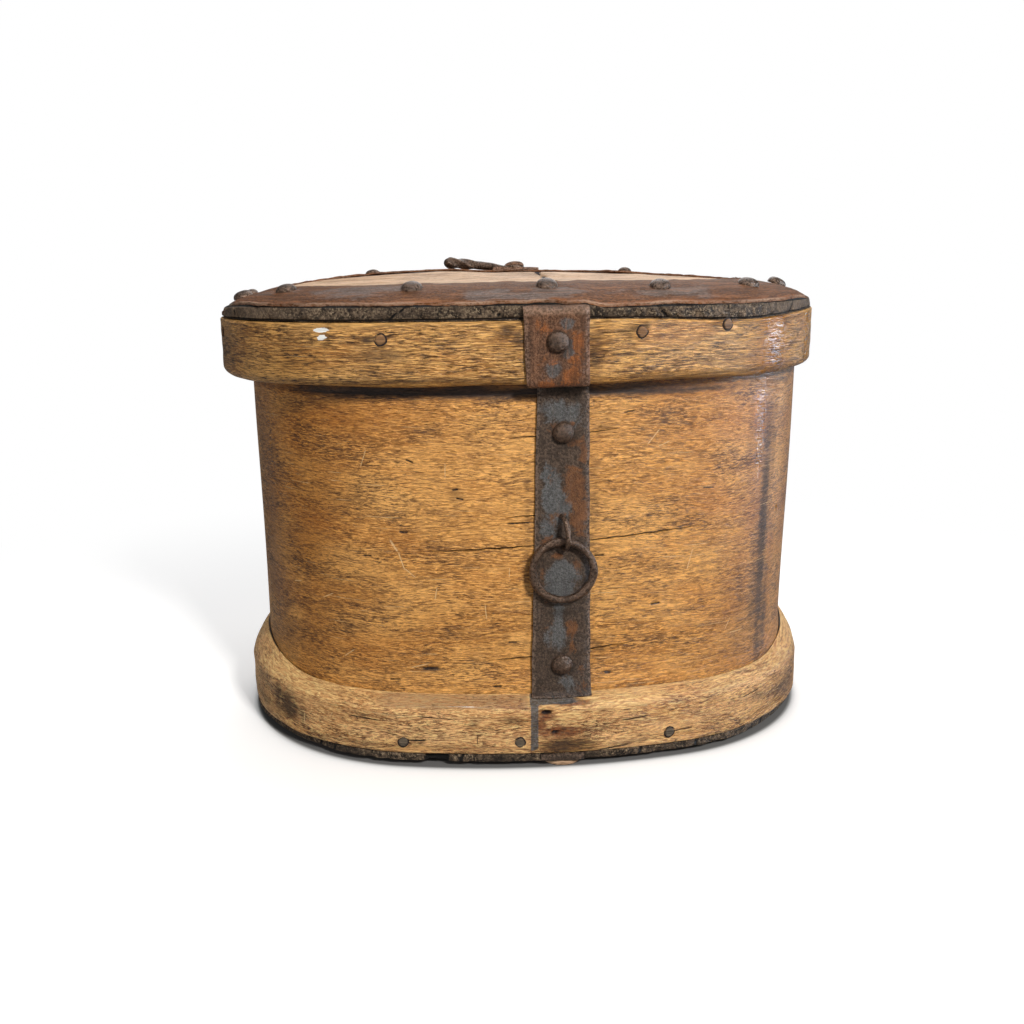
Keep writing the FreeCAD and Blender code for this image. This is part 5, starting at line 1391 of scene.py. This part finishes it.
# Spots on the straps: (x from the strap's middle, distance along it, half width, half length, strength).
STRAP_SPOTS = {
    "rust": (
        (7, 120, 7, 16, 0.9), (10, 104, 6, 14, 0.9), (11, 138, 3.5, 10, 0.8), (-7, 128, 4, 8, 0.55),
        (-6, 102, 5, 5, 0.6), (-4, 151, 6, 4, 0.7), (4, 152, 5, 4, 0.5), (6, 143, 7, 5, 0.6),
        (-6, 89, 7, 5, 0.7), (-4, 82, 8, 3, 0.6), (8, 75, 3, 8, 0.6), (-11, 70, 2, 10, 0.6),
        (6, 42, 5, 10, 0.75), (7, 30, 4, 8, 0.6), (0, 17, 9, 7, 0.55), (11, 14, 4, 16, 0.5),
        (-9, 40, 3, 16, 0.3),
    ),
    "blue": (
        (-6, 115, 7, 13, 1.1), (-2, 160, 13, 9, 0.9), (-9, 122, 3, 16, 0.8), (-1, 108, 5, 8, 0.8),
        (-8, 96, 5, 6, 0.8), (-1, 73, 8, 8, 1.1), (1, 62, 9, 6, 0.9), (-2, 40, 4, 16, 0.9),
        (0, 22, 5, 3, 0.7), (-6, 30, 8, 18, 0.35), (3, 8, 12, 6, 0.35),
    ),
    # Dark soot, and painted shadows round the rivet heads and under the lid band.
    "dark": (
        (0, 180, 20, 10, 1.4), (1.6, 17.5, 7.6, 7, 1.0), (1.6, 146.5, 7.6, 7, 1.0), (-9, 145, 4, 12, 0.35),
        (10, 90, 4, 8, 0.5), (0, 92, 14, 3, 0.4), (0, 50, 14, 5, 0.7), (-8, 20, 7, 18, 0.45),
        (8, 6, 8, 7, 0.45), (0, 148, 14, 5, 0.25),
    ),
}
LID_STRAP_SPOTS = {
    "rust": (
        (9, 36, 5, 9, 0.75), (7, 46, 6, 4, 1.1), (-4, 40, 8, 5, 0.5), (10, 28, 3, 7, 0.8),
        (-8, 22, 5, 5, 0.6), (-3, 50, 9, 3, 0.6),
    ),
    "blue": (
        (5, 20, 4, 4, 1.2), (-2, 43, 4, 5, 0.7), (6, 31, 2.5, 9, 0.8),
    ),
    # Dark soot, and a painted shadow round the nail head.
    "dark": (
        (-14, 34, 4, 20, 0.6), (1.5, 31.0, 7.5, 7.5, 0.9), (-6, 33, 4, 5, 0.5), (14, 34, 2, 20, 0.45),
        (0, 54, 20, 3, 0.5), (4, 34, 3, 8, 0.4), (0, 13, 20, 2, 0.7),
    ),
    # A bright lip along the fold: rubbed metal and a painted highlight.
    "bare": (
        (0, 14.2, 30, 0.8, 0.5), (8, 56, 14, 1.2, 0.3),
    ),
}
HINGE_SPOTS = {
    "rust": (
        (9, 60, 4, 22, 0.9), (-3, 92, 7, 7, 0.6), (8, 118, 8, 24, 0.6),
    ),
    "blue": (
        (-7, 118, 8, 26, 1.0), (-2, 42, 13, 26, 0.9), (2, 26, 9, 10, 0.6),
    ),
}
def make_lid_front_strap():
    """The short strap over the lid's front edge and down its band, in under the band's foot."""
    rim_y = -(HALF_WIDTH + RIM_REACH)
    slope = CROWN_RISE / CROWN_MARGIN
    at_rim = float(crown_height(RIM_REACH)) - 2.34
    face, foot = -(HALF_WIDTH + LID_REACH + 0.1), BAND_LOW - 0.1
    path, sides = bent_path([(rim_y + 12, at_rim + slope * 12), (face, at_rim + slope * (face - rim_y)),
                             (face, foot), (-(HALF_WIDTH + 4.1), foot)], (1.0, 2.75), 1.6, side=-1)

    def bend(x, t):
        return 0.9 * np.exp(-((t - 14.5) / 1.8) ** 2) + 0.25 * np.sin(t * 0.22) * smooth(t, 16, 26)

    share = np.linspace(0, 1, len(path))
    path[:, 1] += 1.9 * smooth(path[:, 1], 236, 250) + 0.8 * smooth(path[:, 1], 222, 214)
    strap_solid("lid_front_strap_sheet", "lid", rusty, ["lid_front_strap"],
                LID_STRAP_X - 1.1 + 1.9 * share, path, sides, 33.4 - 1.2 * share, 64, bend=bend,
                spots=LID_STRAP_SPOTS, edge_wave=0.25, warp=raise_lid)


def make_lid_hinge_strap():
    """Over the lid's back and in under its band; the knuckle is a strip rolled round the pin."""
    inner_y, rim_y = HALF_WIDTH + RING_INNER, HALF_WIDTH + RIM_REACH
    inner_z, rim_z = (float(crown_height(reach)) + 1.7 for reach in (RING_INNER, RIM_REACH))
    face, foot = HALF_WIDTH + LID_REACH + 0.1, BAND_LOW - 0.1
    path, sides = bent_path([(inner_y, inner_z), (face, rim_z - (face - rim_y) * CROWN_RISE / CROWN_MARGIN),
                             (face, foot), (AXIS_Y + 5.2, foot)], (1.0, 2.75), 1.8)
    share = ring_share(path[:, 0] - HALF_WIDTH) * (path[:, 1] > RIM_TOP - 1)
    path[:, 1] += crown_lift(np.full(len(path), HINGE_X), np.full(len(path), 92.0), share)
    strap_solid("lid_hinge_strap_sheet", "lid", rusty, ["lid_hinge_strap"], HINGE_X, path,
                sides, 32.0, 67, bend=lambda x, t: -side_sag(x - LID_X, 5) * smooth(t, 38, 48), edge_wave=0.4)
    roll_knuckle("lid_hinge_knuckle", "lid", rusty, HINGE_X, 12.0, start=96)


KNUCKLE_RADII, KNUCKLE_TURN, KNUCKLE_COLUMNS = (4.55, 2.55), 338, 5


def roll_knuckle(name, body, material, middle, width, start):
    """A knuckle: sheet rolled round the pin from an angle in degrees, its lap showing as a step."""
    turn = np.radians(np.linspace(start, start - KNUCKLE_TURN, 46))
    shape = len(turn), KNUCKLE_COLUMNS
    x = np.broadcast_to(middle + np.linspace(-width / 2, width / 2, KNUCKLE_COLUMNS), shape)
    outer, inner = (np.stack([x, np.broadcast_to((AXIS_Y + radius * np.cos(turn))[:, None], shape),
                              np.broadcast_to((AXIS_Z + radius * np.sin(turn))[:, None], shape)], -1)
                    for radius in KNUCKLE_RADII)
    built = Builder()
    first = built.grid(np.concatenate([outer, inner[:, ::-1]], 1), turn[:, None] * 4,
                       np.arange(2 * KNUCKLE_COLUMNS)[None, :] * 3.0, wrap_columns=True)
    built.close_strip(first, len(turn), 2 * KNUCKLE_COLUMNS)
    built.make(name, body, material, [], sharp=35)


def make_body_hinge_strap():
    """The strap up the back of the wall, with its two outer knuckles; the sheet hides nothing of the pin."""
    low, high = BASE_TOP + 0.4, AXIS_Z - 5.6
    z = np.linspace(low, high, 70)
    path, sides = upright(HALF_WIDTH + 0.1 + wall_lean(z), z, 1)
    strap_solid("body_hinge_sheet", "box", grey, ["body_hinge_strap"], HINGE_X, path, sides,
                32.0, 71, columns=17, bend=lambda x, t: -side_sag(x - BOX_X, 0), spots=HINGE_SPOTS,
                edge_wave=0.4)
    for number, side in enumerate((-1, 1)):
        middle = HINGE_X + side * 11.3
        path, sides = upright(HALF_WIDTH + 0.35, np.linspace(high - 1, AXIS_Z, 6), 1)
        strap_solid(f"body_hinge_tab_{number}", "box", grey, [], middle, path, sides, 9.0,
                    74 + number, columns=5, edge_wave=0.15)
        roll_knuckle(f"body_hinge_knuckle_{number}", "box", grey, middle, 9.0, start=176)


# ------------------------------------------------------------------ wire, rivets, pegs and handle
def tube(built, path, across, half_a, half_b, seed, sides=16, closed=False, twist=0.0, square=0.0, wear=0.03):
    """A bar along a path: half_a lies along across, half_b at a right angle to it and the path.

    square makes its section squarer, twist turns those corners, and wear is how uneven it is.
    """
    tangent = np.roll(path, -1, 0) - np.roll(path, 1, 0) if closed else np.gradient(path, axis=0)
    tangent /= np.linalg.norm(tangent, axis=1)[:, None]
    first = np.broadcast_to(np.asarray(across, float), path.shape)
    first = first - tangent * np.sum(first * tangent, 1)[:, None]
    first = first / np.linalg.norm(first, axis=1)[:, None]
    second = np.cross(tangent, first)
    angle = around(sides)
    twist, square, half_a, half_b = (np.broadcast_to(values, (len(path),))[:, None]
                                     for values in (twist, square, half_a, half_b))
    shape = 1 + square * np.cos(4 * (angle - twist)) + 0.25 * square * np.cos(8 * (angle - twist))
    a, b = half_a * np.cos(angle) * shape, half_b * np.sin(angle) * shape
    points = path[:, None] + first[:, None] * a[..., None] + second[:, None] * b[..., None]
    bumps = field(points.reshape(-1, 3), 9, seed).reshape(a.shape) * wear
    points = path[:, None] + (points - path[:, None]) * (1 + bumps[..., None])
    length = np.concatenate([[0.0], np.cumsum(np.linalg.norm(np.diff(path, axis=0), axis=1))])
    closing = np.linalg.norm(path[0] - path[-1]) if closed else 0.0
    start = built.grid(points, length[:, None], angle[None, :] * 2, wrap_rows=closed, wrap_columns=True,
                       wrap_u=length[-1] + closing, wrap_v=TAU * 2)
    if not closed:
        for row in (0, len(path) - 1):
            built.fan(start + row * sides + np.arange(sides), points[row])


# The hanging ring's middle, and where the staple stands out of the strap: (y, z).
RING_MIDDLE, STAPLE_MIDDLE, STAPLE_RADIUS = (-120.55, 111.75), (-118.1, 132.4), 8.9


def make_pull_ring():
    """The hanging ring, closed by hand and so not quite round."""
    turn = around(96)
    radius = 16.3 * (1 + 0.012 * np.cos(2 * turn + 0.6) + 0.008 * np.cos(3 * turn))
    x, z = STRAP_X + radius * np.cos(turn), RING_MIDDLE[1] + radius * np.sin(turn)
    path = np.stack([x, np.full_like(turn, RING_MIDDLE[0]), z], -1)
    thick = 2.15 * (1 + 0.07 * np.cos(turn * 3 + 1) + 0.05 * np.cos(turn * 7))
    built = Builder()
    tube(built, path, (0, 1, 0), 2.0, thick, 91, closed=True)
    built.make("pull_ring_wire", "pull_ring", dark_iron, ["pull_ring"], sharp=60)


def make_staple():
    """An arch of wire that stands out of the wall, its legs bent over inside."""
    face, middle = STAPLE_MIDDLE
    leg = [(y, STAPLE_RADIUS + bent) for y, bent in
           ((-109.5, 5.5), (-109.5, 2.6), (-109.9, 0.9), (-111.2, 0.0), (-114.5, 0.0))]
    arch = [(face - STAPLE_RADIUS * math.cos(turn), STAPLE_RADIUS * math.sin(turn))
            for turn in np.radians(np.linspace(90, -90, 22))]
    path = np.array(leg + arch + [(y, -z) for y, z in reversed(leg)])
    share = np.linspace(0, 1, len(path))
    lean = -1.3 + 1.9 * share + 2.3 * np.sin(share * math.pi) ** 2
    path = np.stack([STRAP_X + lean, path[:, 0], middle + path[:, 1]], -1)
    built = Builder()
    tube(built, path, (1, 0, 0), 1.4, 1.4, 92, sides=14, wear=0.05)
    built.make("staple_wire", "box", dark_iron, ["ring_staple"], sharp=60)


def make_rivets(name, seats, outward, body, material, node, seed, shank):
    """Domed heads on their seats."""
    built = Builder()
    for number, seat in enumerate(seats):
        add_head(built, seat, outward, 5.75, 4.1, seed + number, shank)
    built.make(name, body, material, [node], raise_lid if body == "lid" else None, sharp=60)


# A washer with the clenched end of its rivet: (radius, distance off the wall).
ROVE_PROFILE = ((2.3, 2.2), (2.5, 0.9), (3.0, 0.8), (5.8, 1.0), (6.3, 0.7), (6.4, 0.1), (6.0, 0.0))


def make_roves(name, x, heights, side, node):
    """The washers inside the wall, with the clenched ends of the rivets showing in them."""
    built = Builder()
    angle = around(28)
    for number, z in enumerate(heights):
        seat_y = side * (HALF_WIDTH - WALL - side_sag(abs(x - BOX_X) + 6.5, -WALL) - 0.1)
        random = np.random.default_rng(120 + number)
        outline = 1 + 0.04 * np.cos(2 * angle + random.uniform(0, TAU)) + 0.03 * np.cos(5 * angle)
        profile = [(radius, side * distance) for radius, distance in ROVE_PROFILE]
        points = turned((x, seat_y, z), (1, 0, 0), (0, 0, 1), profile, angle, outline)
        v = np.arange(len(ROVE_PROFILE)) * 2.0
        start = built.grid(points, angle[:, None] * 5, v[None, :], wrap_rows=True)
        built.close_rings(start, points)
    built.make(name, "box", rusty, [node], sharp=50)


# The outer end of a peg: (radius, distance off the band's face), and how dark each ring of it is.
PEG_END = ((2.75, -0.6), (3.45, -0.25), (3.35, 0.10), (2.90, 0.02), (2.72, 0.10), (2.55, 0.42), (2.0, 0.55),
           (1.0, 0.50))
PEG_GROOVE = (0, 0, 0.3, 0.55, 0.75, 0.75, 0.7, 0.05, 0, 0)


def make_pegs(name, places, reach, middle_x, length, wave, body, material, node, seed):
    """Wooden pegs driven through a band, each end worn almost flush inside a dark ring of shadow."""
    built = Builder()
    angle = around(20)
    profile = ((1.9, -length), (2.7, -length + 3)) + PEG_END
    for number, (s, height) in enumerate(places):
        point, normal = oval(np.array([s]))
        (px, py), (nx, ny) = point[0], normal[0]
        face = reach + float(wave(np.array([[s]]), np.array([[height]]))[0, 0])
        outline = 1 + wobble(np.random.default_rng(seed + number), angle, 0.07, (1, 2, 3, 4))
        seat = (px + nx * face + middle_x, py + ny * face, height)
        points = turned(seat, (-ny, nx, 0), (0, 0, 1), profile, angle, outline)
        uv = np.stack([np.stack([r * np.cos(angle) * 0.5 + 30 * number, r * np.sin(angle)], -1)
                       for r, _ in profile], 1)
        start = built.grid(points, uv[..., 0], uv[..., 1], wrap_rows=True, groove=np.array([PEG_GROOVE]))
        built.close_rings(start, points, uv)
    built.make(name, body, material, [node], raise_lid if body == "lid" else None, sharp=50)


# The loop of a stitch about the wall: (along the wall, reach), and where on the wall the stitches are.
STITCH_LOOP = [(-7.4, -5.9), (7.4, -5.9), (7.4, 0.9), (-7.4, 0.9)]
STITCH_AZIMUTH = math.degrees(math.atan2(116, -72))


def make_stitches():
    """Seven loops of split root through the wall, across its scarf joint."""
    s0 = s_at(STITCH_AZIMUTH)
    corners = [np.array(corner) for corner in STITCH_LOOP]
    path = []
    for before, corner, after in zip(corners, corners[1:] + corners[:1], corners[2:] + corners[:2]):
        into = corner + (before - corner) / np.linalg.norm(before - corner) * 1.6
        away = corner + (after - corner) / np.linalg.norm(after - corner) * 1.6
        if path:
            last = path[-1]
            path += [last + (into - last) * t for t in (0.25, 0.5, 0.75)]
        path += [into * (1 - t)**2 + corner * 2 * t * (1 - t) + away * t**2 for t in (0, 0.33, 0.67, 1)]
    last = path[-1]
    path = np.array(path + [last + (path[0] - last) * t for t in (0.25, 0.5, 0.75)])
    built = Builder()
    for number in range(7):
        z = 52.4 + 24 * number
        lean = 0.5 * math.sin(number * 2.1)
        point, normal = oval(s0 + path[:, 0])
        on_wall = point + normal * (path[:, 1] + wall_lean(z))[:, None]
        loop = np.stack([on_wall[:, 0] + BOX_X, on_wall[:, 1], z + lean * path[:, 0] / 7.4], -1)
        tube(built, loop, (0, 0, 1), 1.6, 0.62, 140 + number, sides=12, closed=True, wear=0.08)
    built.make("stitch_fibres", "box", root, ["wall_seam_stitches"], sharp=60)


# The handle's rivet stands here, square to the crown's slope.
SEAT = np.array([5.3, 95.6, 263.716])
SEAT_NORMAL = np.array([0.0, 0.298532518, 0.954399459])
# How steeply its bar rises, and the section of its eye: (radius, height over the seat).
HANDLE_RISE = math.radians(3.3)
EYE_PROFILE = ((2.9, 0.3), (6.2, 0.3), (6.9, 0.9), (7.0, 1.7), (6.6, 2.5), (5.6, 2.9), (2.9, 2.9))


def handle_seat():
    """The rivet's seat on the crown where it really lies."""
    share = float(ring_share(SEAT[1] - HALF_WIDTH))
    return SEAT + (0, 0, float(crown_lift(SEAT[0], SEAT[1], share)) + LID_TILT * SEAT[0])


def make_handle():
    """A flat eye on the rivet, a thin neck, and a bar twisted like a rope up to its blunt end."""
    seat = handle_seat()
    along = np.array([-math.cos(HANDLE_RISE), *(SEAT_NORMAL[1:] * math.sin(HANDLE_RISE))])
    aside = np.cross(SEAT_NORMAL, along)
    t = np.concatenate([np.linspace(5.0, 45.2, 62), 49.4 - 4.2 * (1 - np.linspace(0.06, 0.985, 10)) ** 1.6])
    thick = np.interp(t, [5, 9, 16, 30, 44, 49], [1.3, 1.8, 2.5, 3.1, 3.5, 3.5])
    wide = np.interp(t, [5, 9, 14, 30, 44, 49], [5.2, 3.4, 2.8, 3.3, 3.7, 3.7])
    end = np.sqrt(np.clip(1 - np.clip((t - 45.2) / 4.25, 0, 1) ** 2, 0.0, 1))
    height = 0.3 + np.maximum(np.interp(t, [5, 9, 16, 49], [1.3, 1.8, 2.4, 3.4]), thick)
    path = seat + along * t[:, None] + SEAT_NORMAL * (height - 0.35)[:, None]
    built = Builder()
    tube(built, path, aside, wide * end, thick * end, 160, sides=36, twist=t * 0.13,
         square=0.13 * smooth(t, 18, 34) * smooth(t, 48.0, 44.5))
    angle = around(40)
    outline = 1 + 0.03 * np.cos(2 * angle + 1) + 0.02 * np.cos(5 * angle)
    flat_along = along - SEAT_NORMAL * (along @ SEAT_NORMAL)
    flat_along /= np.linalg.norm(flat_along)
    points = turned(seat, flat_along, np.cross(SEAT_NORMAL, flat_along), EYE_PROFILE, angle, outline, 3)
    built.grid(points, angle[:, None] * 6, np.arange(len(EYE_PROFILE))[None, :] * 2.0, wrap_rows=True,
               wrap_columns=True)
    built.make("handle_twisted_bar", "handle", dark_iron, ["twisted_handle"], sharp=55)


def make_handle_rivet():
    built = Builder()
    add_head(built, handle_seat() + SEAT_NORMAL * 3.2, SEAT_NORMAL, 6.8, 3.3, 170, 18.0, shank_radius=2.45)
    built.make("handle_rivet_head", "lid", rusty, ["handle_rivet"], sharp=60)


def make_toe():
    """The end of an iron strip that shows under the front of the bottom board."""
    path, sides = bent_path([(-65.5, 4.9), (-125.5, 4.9), (-125.5, 7.75)], (0.4,), 1.6)
    strap_solid("under_strap_sheet", "box", grey, ["under_strap_end"], STRAP_X, path,
                sides, 24.0, 75, thickness=1.5, columns=11, edge_wave=0.4)


# ------------------------------------------------------------------ camera, light and stage
# The camera as fitted to the photo: its place, its turns in radians, and its focal length in photo pixels.
CAMERA_PLACE = Vector((-59.96, -648.2, 272.6)) * MM
CAMERA_YAW, CAMERA_PITCH, CAMERA_ROLL = 0.08396, 0.23663, 0.00574
FOCAL_PIXELS, PHOTO_PIXELS, SENSOR = 1035.59, 1024, 36.0


def make_camera():
    (cos_yaw, sin_yaw), (cos_pitch, sin_pitch), (cos_roll, sin_roll) = (
        (math.cos(turn), math.sin(turn)) for turn in (CAMERA_YAW, CAMERA_PITCH, CAMERA_ROLL))
    right = Vector((cos_yaw, -sin_yaw, 0))
    ahead = Vector((sin_yaw * cos_pitch, cos_yaw * cos_pitch, -sin_pitch))
    up = right.cross(ahead)
    across, above = right * cos_roll - up * sin_roll, right * sin_roll + up * cos_roll
    data = bpy.data.cameras.new("camera")
    data.sensor_width = SENSOR
    data.lens = SENSOR * FOCAL_PIXELS / PHOTO_PIXELS
    data.clip_start = 0.01
    camera = bpy.data.objects.new("camera", data)
    turned_to = Matrix((across, above, -ahead)).transposed().to_4x4()
    camera.matrix_world = Matrix.Translation(CAMERA_PLACE) @ turned_to
    bpy.context.scene.collection.objects.link(camera)
    bpy.context.scene.camera = camera


# Soft lamps: name, place, aim in metres, width, height, power, colour.
LAMPS = (
    ("key", (0.50, -1.28, 1.0), (0, 0, 0.12), 0.24, 0.24, 25, (1.0, 0.97, 0.93)),
    ("fill", (-1.1, -1.1, 0.55), (0, 0, 0.12), 0.8, 0.8, 3.4, (1.0, 0.98, 0.96)),
    ("over", (0.0, 0.35, 1.4), (0, 0, 0.2), 0.9, 0.9, 8, (1, 1, 1)),
    ("window", (0.95, -0.03, 0.32), (0.1, -0.05, 0.2), 0.07, 0.62, 8.0, (0.62, 0.80, 1.0)),
    ("back", (0.3, 1.4, 0.9), (0, 0, 0.12), 0.9, 0.9, 6, (1, 1, 1)),
)


def make_lamps():
    """The lamps; the window only shows as a streak of light in what shines."""
    for name, place, aim, width, height, power, colour in LAMPS:
        light = bpy.data.lights.new(name, "AREA")
        light.shape = "RECTANGLE"
        light.size, light.size_y = width, height
        light.energy, light.color = power, colour
        lamp = bpy.data.objects.new(name, light)
        lamp.location = place
        lamp.rotation_euler = (Vector(aim) - Vector(place)).to_track_quat("-Z", "Y").to_euler()
        lamp.visible_diffuse = name != "window"
        bpy.context.scene.collection.objects.link(lamp)


def make_world():
    """A white world to the eye, and a weak bluish one to everything that it lights."""
    world = bpy.data.worlds.new("world")
    bpy.context.scene.world = world
    world.use_nodes = True
    nodes, links = world.node_tree.nodes, world.node_tree.links
    nodes.clear()
    backgrounds = []
    for colour, strength in (((0.95, 0.97, 1.0, 1), 0.17), ((1, 1, 1, 1), 1.0)):
        background = nodes.new("ShaderNodeBackground")
        background.inputs[0].default_value = colour
        background.inputs[1].default_value = strength
        backgrounds.append(background)
    path = nodes.new("ShaderNodeLightPath")
    seen = nodes.new("ShaderNodeMath")
    seen.operation = "MAXIMUM"
    mix = nodes.new("ShaderNodeMixShader")
    out = nodes.new("ShaderNodeOutputWorld")
    links.new(path.outputs["Is Camera Ray"], seen.inputs[0])
    links.new(path.outputs["Is Transmission Ray"], seen.inputs[1])
    links.new(seen.outputs[0], mix.inputs[0])
    links.new(backgrounds[0].outputs[0], mix.inputs[1])
    links.new(backgrounds[1].outputs[0], mix.inputs[2])
    links.new(mix.outputs[0], out.inputs[0])


def floor_material():
    """Pale to the eye and fading to white, grey to other rays, and darkened round the box by a painted
    contact shadow.
    """
    sh = Shader("pale_floor")
    place = sh.node("ShaderNodeTexCoord", output=3)
    away = sh.node("ShaderNodeVectorMath", {0: place}, 1, operation="LENGTH")
    # The under mark is a painted contact shadow: it darkens the floor and dims its glow round the box.
    under = sh.mark("under")
    lit = sh.node("ShaderNodeBsdfDiffuse", {0: sh.mix(under, (0.86, 0.86, 0.86), (0.16, 0.16, 0.16))})
    glow = sh.node("ShaderNodeEmission", {0: (1, 1, 1, 1), 1: sh.steps(under, 0.0, 0.8, 0.31, 0.0)})
    near = sh.node("ShaderNodeAddShader", {0: lit, 1: glow})
    far = sh.node("ShaderNodeEmission", {0: (1, 1, 1, 1), 1: 1.0})
    shown = sh.node("ShaderNodeMixShader", {0: sh.steps(away, 0.26, 0.62), 1: near, 2: far})
    table = sh.node("ShaderNodeBsdfDiffuse", {0: (0.30, 0.29, 0.28, 1)})
    camera_ray = sh.node("ShaderNodeLightPath")
    both = sh.node("ShaderNodeMixShader", {0: camera_ray, 1: table, 2: shown})
    sh.node("ShaderNodeOutputMaterial", {"Surface": both})
    return sh.material


# The floor's rings about the box: (reach, how dark the painted contact shadow makes it).
FLOOR_RINGS = ((4, 1), (8.4, 1), (9.4, 0.75), (10.6, 0.42), (12.5, 0.2), (15, 0.08), (19, 0.03), (28, 0),
               (90, 0), (250, 0), (1000, 0), (6000, 0))


def make_floor():
    s = even_s(180)
    reach, dark = np.array(FLOOR_RINGS, float).T
    rings, count = len(reach), len(s)
    points = ring_points(s, reach[None, :], np.zeros((1, rings)), BOX_X).reshape(-1, 3)
    faces = [(i * rings + j, (i + 1) % count * rings + j, (i + 1) % count * rings + j + 1, i * rings + j + 1)
             for i in range(count) for j in range(rings - 1)]
    faces.append(tuple(i * rings for i in reversed(range(count))))
    mesh = bpy.data.meshes.new("floor")
    mesh.from_pydata((points * MM).tolist(), [], faces)
    under = mesh.attributes.new("under", "FLOAT", "POINT")
    under.data.foreach_set("value", np.tile(dark, count).astype(np.float32))
    mesh.materials.append(floor_material())
    floor = bpy.data.objects.new("floor", mesh)
    bpy.context.scene.collection.objects.link(floor)


# ------------------------------------------------------------------ the whole scene
# Heights of the rivets of the straps on the wall, and the place of the nails of the straps on the lid.
STRAP_RIVETS, HINGE_RIVETS = (57.1, 186.3), (59.6, 121.0, 182.5)
LID_NAIL_Y, LID_NAIL_Z = 130.4, 233.9
# Pegs: azimuths and height, and for the three at the lid's front their own s and height.
BASE_PEGS, BASE_PEG_Z = (-124, -97, -60, 12, 52, 78, 112, 150, 178), 15.3
LID_PEGS, LID_PEG_Z = (24, 62, 118, 152, -168), 236.9
FRONT_LID_PEGS = [(-78.0, 236.1), (50.5, 237.4), (96.3, 239.8)]

bpy.context.scene.view_settings.view_transform = "Standard"
make_camera()
make_lamps()
make_world()
make_floor()
make_bottom_board()
make_feet()
make_toe()
make_base_band()
make_pegs("base_peg_ends", [(s_at(azimuth, BASE_REACH), BASE_PEG_Z) for azimuth in BASE_PEGS], BASE_REACH,
          BOX_X, 22.0, base_wave, "box", peg_wood, "base_band_pegs", 200)
make_wall()
make_stitches()
make_front_strap()
make_rivets("front_strap_rivet_heads", [(STRAP_X, -118.1 - wall_lean(z), z) for z in STRAP_RIVETS],
            (0, -1, 0), "box", dark_iron, "front_strap_rivets", 220, 8.0)
make_roves("front_strap_washers", STRAP_X, STRAP_RIVETS, -1, "front_strap_roves")
make_staple()
make_pull_ring()
make_body_hinge_strap()
make_rivets("body_hinge_rivet_heads", [(HINGE_X, 118.2 + wall_lean(z), z) for z in HINGE_RIVETS], (0, 1, 0),
            "box", rusty, "body_hinge_rivets", 230, 8.0)
make_roves("body_hinge_washers", HINGE_X, HINGE_RIVETS, 1, "body_hinge_roves")
make_lid_band()
make_pegs("lid_peg_ends", FRONT_LID_PEGS + [(s_at(azimuth, LID_REACH), LID_PEG_Z) for azimuth in LID_PEGS],
          LID_REACH, LID_X, 18.0, lid_wave, "lid", lid_peg_wood, "lid_band_pegs", 240)
make_lid_board()
make_iron_ring()
make_ring_nails()
make_lid_front_strap()
make_rivets("lid_front_nail_head", [(LID_STRAP_X, -LID_NAIL_Y, LID_NAIL_Z)], (0, -1, 0), "lid", dark_iron,
            "lid_front_strap_nail", 260, 13.0)
make_lid_hinge_strap()
make_rivets("lid_hinge_nail_head", [(HINGE_X, LID_NAIL_Y, LID_NAIL_Z)], (0, 1, 0), "lid", dark_iron,
            "lid_hinge_strap_nail", 262, 13.0)
make_handle()
make_handle_rivet()

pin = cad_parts["hinge_pin"]
pin.data.materials.clear()
pin.data.materials.append(dark_iron)
